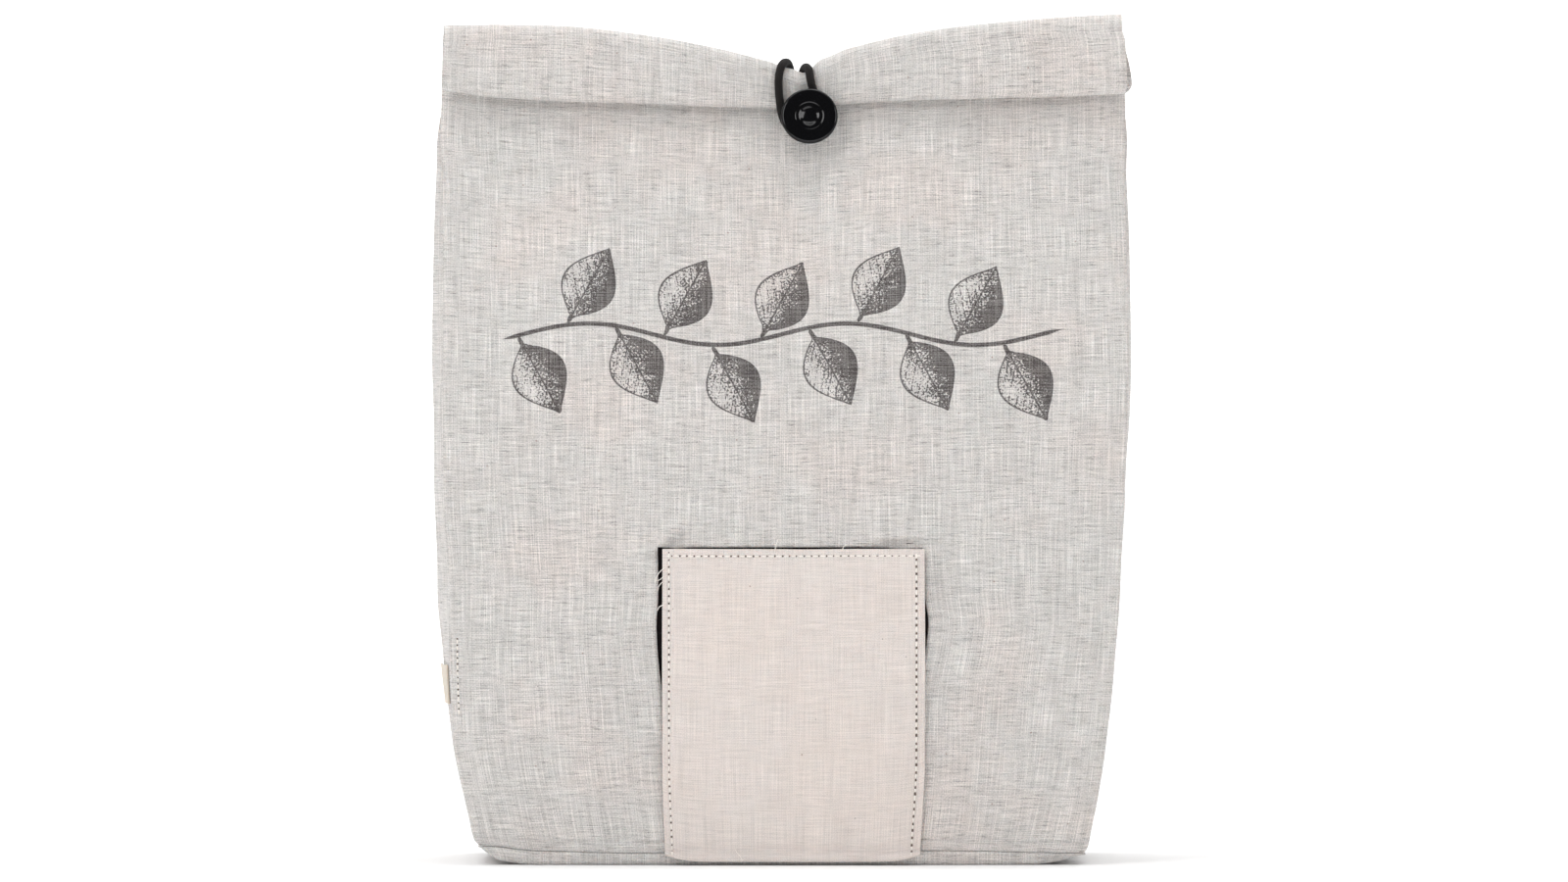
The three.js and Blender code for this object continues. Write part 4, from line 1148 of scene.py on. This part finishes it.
# The right row's longer dark holes are painted shade where the stitches pull the cloth open.
pulled_row = flap_line(0 * rising + 1 - inset_u * 1.25, rising)
sew("flap_side_stitches", [pulled_row], (0, -1, 0), STITCH_PITCH, 6, "flap_cloth", hole_length=1.5)

# %% The label's stitching in the left front seam
LABEL_SEAM_LOW, LABEL_SEAM_HIGH = 57, 83
label_rise = np.linspace(LABEL_SEAM_LOW, LABEL_SEAM_HIGH, 60)
label_share = (label_rise - BASE_RISE) / (neck_z(0 * label_rise - 112) - BASE_RISE)
beside_seam = seam_x(-1, label_share) + 2.6
seam_relief = front_relief(beside_seam, label_rise)
seam_row = settled(inside_panel(-1, beside_seam, label_rise, -seam_relief - 0.05))
sew("label_stitches", [seam_row], (0, -1, 0), 2.2, 9, "outer_cloth")

# %% [markdown]
# ## Loose threads
# The flap's cut edge has frayed a little. A few thread ends stand out at its left side, two lie
# over the top gap, and one on the hem. Each is a thin tube on a short bent line.

# %% Loose threads
LOOSE_THREADS = [
    [(-2.6, 115.8, 0.2), (-2.3, 117.4, 0.5), (-2.0, 119, 0.2), (-1.3, 120.8, -1.2)],
    [(-43.4, 110.4, 0.1), (-45.2, 108.6, 0.4), (-46.4, 106.6, 0.1), (-46.8, 104.4, -0.4)],
    [(-43.6, 107.2, 0.1), (-45.4, 105.8, 0.3), (-46.9, 105.9, 0)],
    [(-43.8, 105.4, 0.1), (-45.3, 103.8, 0.3), (-45.9, 101.9, -0.2)],
    [(-43.6, 96.8, 0.1), (-45.2, 96, 0.2), (-46, 94.6, -0.4)],
    [(-17.2, 6.2, 0.1), (-16.4, 4.6, 0.35), (-15.4, 3.6, 0.3), (-14.6, 1.8, 0.25)],
    [(22.4, 116.6, 0.1), (23, 118.1, 0.2), (24.2, 118.9, -0.6)],
]


def loose_threads():
    tubes = []
    for number, table in enumerate(LOOSE_THREADS):
        x, z, out = np.array(table).T
        line = catmull(flap_surface(x, z, FLAP_FACE + out), 16)
        tubes.append(tube_mesh(f"thread {number}", line, 0.15, 6))
    return tubes


# %% [markdown]
# ## The button and its elastic
# The button is cast resin with a thick round rim, a shallow dish and a low dome, on a stem.
# Turning one half section round its axis gives it, as a lathe would. The elastic is a round cord
# with a braided cover. It is one tube along its real route: from the patch on the back, over the
# roll, round the stem and back beside itself.

# %% The button in numbers
BUTTON_DIAMETER, BUTTON_THICKNESS, BUTTON_TILT, BUTTON_DROP = 21.2, 3.2, math.radians(14), 2.9
STEM_DIAMETER, STEM_LENGTH, CORD_DIAMETER, CORD_GAP = 6, 8.0, 3.1, 0.5
BUTTON_PROFILE = {
    "out": [0, 0.12, 0.25, 0.36, 0.43, 0.48, 0.52, 0.56, 0.62, 0.72, 0.84, 0.93, 0.98, 1, 0.97, 0.86],
    "up":  [0.97, 0.945, 0.86, 0.74, 0.7, 0.72, 0.77, 0.765, 0.78, 0.83, 0.86, 0.83, 0.7, 0.47, 0.18, 0],
}
button_radius, cord_radius = BUTTON_DIAMETER / 2, CORD_DIAMETER / 2
strand_off = neck_depth + CORD_GAP + cord_radius
strand_y = -2 * pitch_at(BUTTON_ACROSS) - strand_off
button_facing = np.array([0, -math.cos(BUTTON_TILT), math.sin(BUTTON_TILT)])
button_back = np.array([
    BUTTON_ACROSS,
    strand_y - cord_radius - CORD_GAP - button_radius * math.sin(BUTTON_TILT),
    NECK_HEIGHT - BUTTON_DROP,
])


# %% A smooth curve through points
def catmull(points, count):
    """Even places on a smooth curve through points, with the spacing of a centripetal spline."""
    points = np.asarray(points, float)
    points = np.concatenate([[2 * points[0] - points[1]], points, [2 * points[-1] - points[-2]]])
    knots = np.concatenate([[0], np.cumsum(np.linalg.norm(np.diff(points, axis=0), axis=1) ** 0.5)])
    fine = []
    for i in range(1, len(points) - 2):
        t = np.linspace(knots[i], knots[i + 1], 40, endpoint=False)[:, None]
        p, k = points[i - 1:i + 3], knots[i - 1:i + 3]
        a = [((k[j + 1] - t) * p[j] + (t - k[j]) * p[j + 1]) / (k[j + 1] - k[j]) for j in range(3)]
        b = [((k[j + 2] - t) * a[j] + (t - k[j]) * a[j + 1]) / (k[j + 2] - k[j]) for j in range(2)]
        fine.append(((k[2] - t) * b[0] + (t - k[1]) * b[1]) / (k[2] - k[1]))
    fine = np.concatenate(fine + [points[-2:-1]])
    length = np.concatenate([[0], np.cumsum(np.linalg.norm(np.diff(fine, axis=0), axis=1))])
    even = np.linspace(0, length[-1], count)
    return np.stack([np.interp(even, length, fine[:, axis]) for axis in range(len(fine[0]))], axis=1)


# %% The button's form
def button_form(sides=96):
    face = catmull(np.array(list(zip(*BUTTON_PROFILE.values()))), 60) * (button_radius, BUTTON_THICKNESS)
    face[0, 0] = 0
    stem_radius = STEM_DIAMETER / 2
    stem = [(button_radius * 0.8, -0.02), (stem_radius + 0.5, -0.02), (stem_radius, -0.5),
            (stem_radius, -STEM_LENGTH), (0, -STEM_LENGTH)]
    profile = np.concatenate([face, stem])
    turn = np.linspace(0, 2 * math.pi, sides, endpoint=False)
    across, up = np.array([1.0, 0, 0]), np.cross(button_facing, [1.0, 0, 0])
    rings = profile[1:-1]
    points = [
        button_back + out * (math.cos(a) * across + math.sin(a) * up) + height * button_facing
        for out, height in rings for a in turn
    ]
    points += [button_back + profile[0, 1] * button_facing, button_back + profile[-1, 1] * button_facing]
    top, bottom = len(points) - 2, len(points) - 1
    faces = [(top, i, (i + 1) % sides) for i in range(sides)]
    for ring in range(len(rings) - 1):
        first = ring * sides
        faces += [(first + i, first + sides + i, first + sides + (i + 1) % sides, first + (i + 1) % sides)
                  for i in range(sides)]
    last = (len(rings) - 1) * sides
    faces += [(bottom, last + (i + 1) % sides, last + i) for i in range(sides)]
    return smooth_mesh("button", points, faces)


# %% The button's resin
SWIRL_MM, WAVY_MM = 2.4, 6


def resin_material():
    """Cast resin, tumbled to a high gloss, with the faint waviness that casting leaves."""
    material, tree = new_material("polished black resin")
    place = add(tree, "TexCoord")
    swirl = add(tree, "TexNoise", {
        "Scale": 1 / (SWIRL_MM * MM), "Detail": 3, "Vector": place.outputs["Object"]})
    rough = add(tree, "MapRange", {"To Min": 0.05, "To Max": 0.14, "Value": swirl})
    wavy = add(tree, "TexNoise", {
        "Scale": 1 / (WAVY_MM * MM), "Detail": 1, "Vector": place.outputs["Object"]})
    bump = add(tree, "Bump", {"Strength": 0.2, "Distance": 0.08 * MM, "Height": wavy})
    return finished(material, {
        "Base Color": paint("#060608"), "Roughness": rough, "Normal": bump,
        "IOR": 1.5, "Specular IOR Level": 0.32,
    })


new_piece("button", button_form(), resin_material(), "button", "closure_button")

# %% The elastic's way
STRANDS = {
    "leg":   [0.9, 1.25, 1.5, 1.75, 2.05, 2.6, 3],
    "left":  [-0.62, -0.68, -0.8, -0.98, -1.08, -1.08, -1.05],
    "right": [-0.26, -0.24, -0.14, -0.02, 0.05, 0.13, 0.22],
}
HOOK = [(-2.0, 0.32), (-1.45, -0.62), (-0.72, -1.02), (0.1, -1.1),
        (0.84, -0.76), (1.1, 0.1), (0.85, 1.05)]
PATCH_ACROSS, PATCH_DROP, PATCH_SPREAD = 6, 17, 5
PATCH_WIDTH, PATCH_HEIGHT, PATCH_LIFT, CORD_LIFT = 22, 14, 1.9, 2.4


def elastic_route():
    patch_top = NECK_HEIGHT - PATCH_DROP

    def from_patch(side):
        x = np.full(3, PATCH_ACROSS + side * PATCH_SPREAD / 2)
        z = patch_top + np.array([-4, SEAM_GAP, SEAM_GAP + CORD_DIAMETER])
        return inside_panel(1, x, z, np.full(3, -CORD_GAP - cord_radius))

    def over_roll(name):
        x = BUTTON_ACROSS + np.array(STRANDS[name]) * button_radius
        return on_roll(x, np.array(STRANDS["leg"]), strand_off)

    bend = STEM_DIAMETER / 2 + CORD_GAP + cord_radius
    down = (button_back[1] - strand_y) * math.tan(BUTTON_TILT)
    around = [(BUTTON_ACROSS + a * bend, strand_y, button_back[2] + down + u * bend) for a, u in HOOK]
    return np.concatenate([
        from_patch(-1), over_roll("left"), around, over_roll("right")[::-1], from_patch(1)[::-1],
    ])


# %% A tube along a line
def tube_mesh(name, line, radius, sides):
    """A tube along line, in mm, closed at both ends, with a map of turns and metres."""
    tangent = np.gradient(line, axis=0)
    tangent /= np.linalg.norm(tangent, axis=1, keepdims=True)
    side = np.cross(tangent[0], [1.0, 0, 0])
    sides_of = []
    for along in tangent:
        side = side - along * side.dot(along)
        side /= np.linalg.norm(side)
        sides_of.append(side)
    sides_of = np.array(sides_of)
    other = np.cross(tangent, sides_of)
    turn = np.linspace(0, 2 * math.pi, sides, endpoint=False)
    rings = line[:, None] + radius * (
        sides_of[:, None] * np.cos(turn)[None, :, None] + other[:, None] * np.sin(turn)[None, :, None]
    )
    points = np.concatenate([rings.reshape(-1, 3), line[:1], line[-1:]])
    faces, maps = [], []
    length = np.concatenate([[0], np.cumsum(np.linalg.norm(np.diff(line, axis=0), axis=1))]) * MM
    for i in range(len(line) - 1):
        for j in range(sides):
            k = (j + 1) % sides
            faces.append((i * sides + j, i * sides + k, (i + 1) * sides + k, (i + 1) * sides + j))
            maps += [(j / sides, length[i]), ((j + 1) / sides, length[i]),
                     ((j + 1) / sides, length[i + 1]), (j / sides, length[i + 1])]
    last = (len(line) - 1) * sides
    for j in range(sides):
        k = (j + 1) % sides
        faces += [(len(points) - 2, k, j), (len(points) - 1, last + j, last + k)]
        maps += [(0, 0)] * 6
    mesh = smooth_mesh(name, points, faces)
    mesh.uv_layers.new(name="cord").data.foreach_set("uv", np.array(maps).ravel())
    return mesh


# %% Braided elastic
BRAID_STRANDS, BRAID_TURN = 8, 6


def elastic_material():
    """A braided cover: two sets of strands wind round the cord in opposite ways. Their crests are painted
    lighter, a painted highlight.
    """
    material, tree = new_material("braided black elastic")
    cord_map = add(tree, "UVMap", {"uv_map": "cord"})
    axes = add(tree, "SeparateXYZ", {0: cord_map})
    winds = []
    for way in (1, -1):
        round_it = add(tree, "Math MULTIPLY", {0: axes.outputs["X"], 1: 2 * math.pi * BRAID_STRANDS})
        turns = way * 2 * math.pi * BRAID_STRANDS / (BRAID_TURN * MM)
        angle = add(tree, "Math MULTIPLY_ADD", {0: axes.outputs["Y"], 1: turns, 2: round_it})
        winds.append(add(tree, "Math SINE", {0: angle}))
    braid_relief_and_highlight = add(tree, "Math MAXIMUM", {0: winds[0], 1: winds[1]})
    # Lighter on the raised strands: a painted highlight.
    tone = add(tree, "ValToRGB", {"Fac": braid_relief_and_highlight})
    tone.color_ramp.elements[0].color = paint("#060404")
    tone.color_ramp.elements[1].color = paint("#16100e")
    bump = add(tree, "Bump", {"Strength": 0.6, "Distance": 0.2 * MM, "Height": braid_relief_and_highlight})
    return finished(material, {
        "Base Color": tone, "Normal": bump, "Roughness": 0.8, "Sheen Weight": 0.05,
        "Specular IOR Level": 0.3,
    })


# %% Loose threads made one piece
def join_tubes(name, tubes):
    """One mesh from several tubes."""
    pieces = [placed(tube.name, tube) for tube in tubes]
    with bpy.context.temp_override(active_object=pieces[0], selected_editable_objects=pieces):
        bpy.ops.object.join()
    mesh = pieces[0].data
    mesh.name = name
    bpy.data.objects.remove(pieces[0])
    return mesh


new_piece("loose_threads", join_tubes("loose threads", loose_threads()), thread, "flap_cloth")

# %% The elastic itself
route = catmull(elastic_route(), 300)
tube = tube_mesh("elastic", route, cord_radius, 20)
new_piece("elastic", tube, elastic_material(), "elastic", "elastic_loop")
print("Elastic length in mm:", round(float(np.linalg.norm(np.diff(route, axis=0), axis=1).sum())))

# %% Patch
def cord_swell(x, z):
    """How far the two cord ends lift the patch, as a share of the cord's width."""
    cords = sum(bell(x - PATCH_ACROSS - s * PATCH_SPREAD / 2, 1.9) for s in (-1, 1))
    up = (z - NECK_HEIGHT + PATCH_DROP) / PATCH_HEIGHT + 1
    return cords * eased(up, 0.35, 0.9)


def patch_cloth():
    u, v = np.meshgrid(np.linspace(0, 1, 45), np.linspace(0, 1, 30))
    x = PATCH_ACROSS + (0.5 - u) * PATCH_WIDTH
    z = NECK_HEIGHT - PATCH_DROP + (v - 1) * PATCH_HEIGHT
    lift = PATCH_LIFT + CORD_LIFT * cord_swell(x, z)
    edge = np.minimum(np.minimum(u, 1 - u) * PATCH_WIDTH, np.minimum(v, 1 - v) * PATCH_HEIGHT)
    lift = lift - 0.5 * bell(edge - 2, 0.9)
    return grid_mesh("patch", inside_panel(1, x, z, -lift))


patch = new_piece("loop_patch_cloth", patch_cloth(), linen, "outer_cloth", "loop_patch")
thicken(patch, 1.2, edge=0.35)

# %% The patch's stitching
PATCH_SEWN = 2.0


def patch_line(x_share, z_share):
    x = PATCH_ACROSS + x_share * (PATCH_WIDTH / 2 - PATCH_SEWN)
    z = NECK_HEIGHT - PATCH_DROP - PATCH_HEIGHT / 2 + z_share * (PATCH_HEIGHT / 2 - PATCH_SEWN)
    return inside_panel(1, x, z, -(PATCH_LIFT - 0.45 + CORD_LIFT * cord_swell(x, z)))


edge_run = np.linspace(-1, 1, 40)
patch_rows = [patch_line(edge_run, side + 0 * edge_run) for side in (-1, 1)]
patch_rows += [patch_line(side + 0 * edge_run, edge_run) for side in (-1, 1)]
sew("patch_stitches", patch_rows, (0, 1, 0), 2.4, 14, "outer_cloth")

# %% The side label
LABEL_HEIGHT, LABEL_MIDDLE, LABEL_FRONT, LABEL_BACK = 14.5, 67, -0.95, -0.4


def label_tape():
    share, up = np.meshgrid(np.linspace(LABEL_BACK, LABEL_FRONT, 24), np.linspace(-0.5, 0.5, 16))
    z = LABEL_MIDDLE + LABEL_HEIGHT * up
    rise = (z - BASE_RISE) / (neck_z(np.float64(-112)) - BASE_RISE)
    points, _ = gusset_points(-1, share, rise)
    points[..., 0] -= EASE_LEFT + 1.0 + 0.25 * np.sin((share - LABEL_FRONT) * 9)
    points[..., 2] = z
    return grid_mesh("label", points)


label = new_piece("side_label_tape", label_tape(), tape, "label", "side_label")
thicken(label, 0.7, edge=0.2)
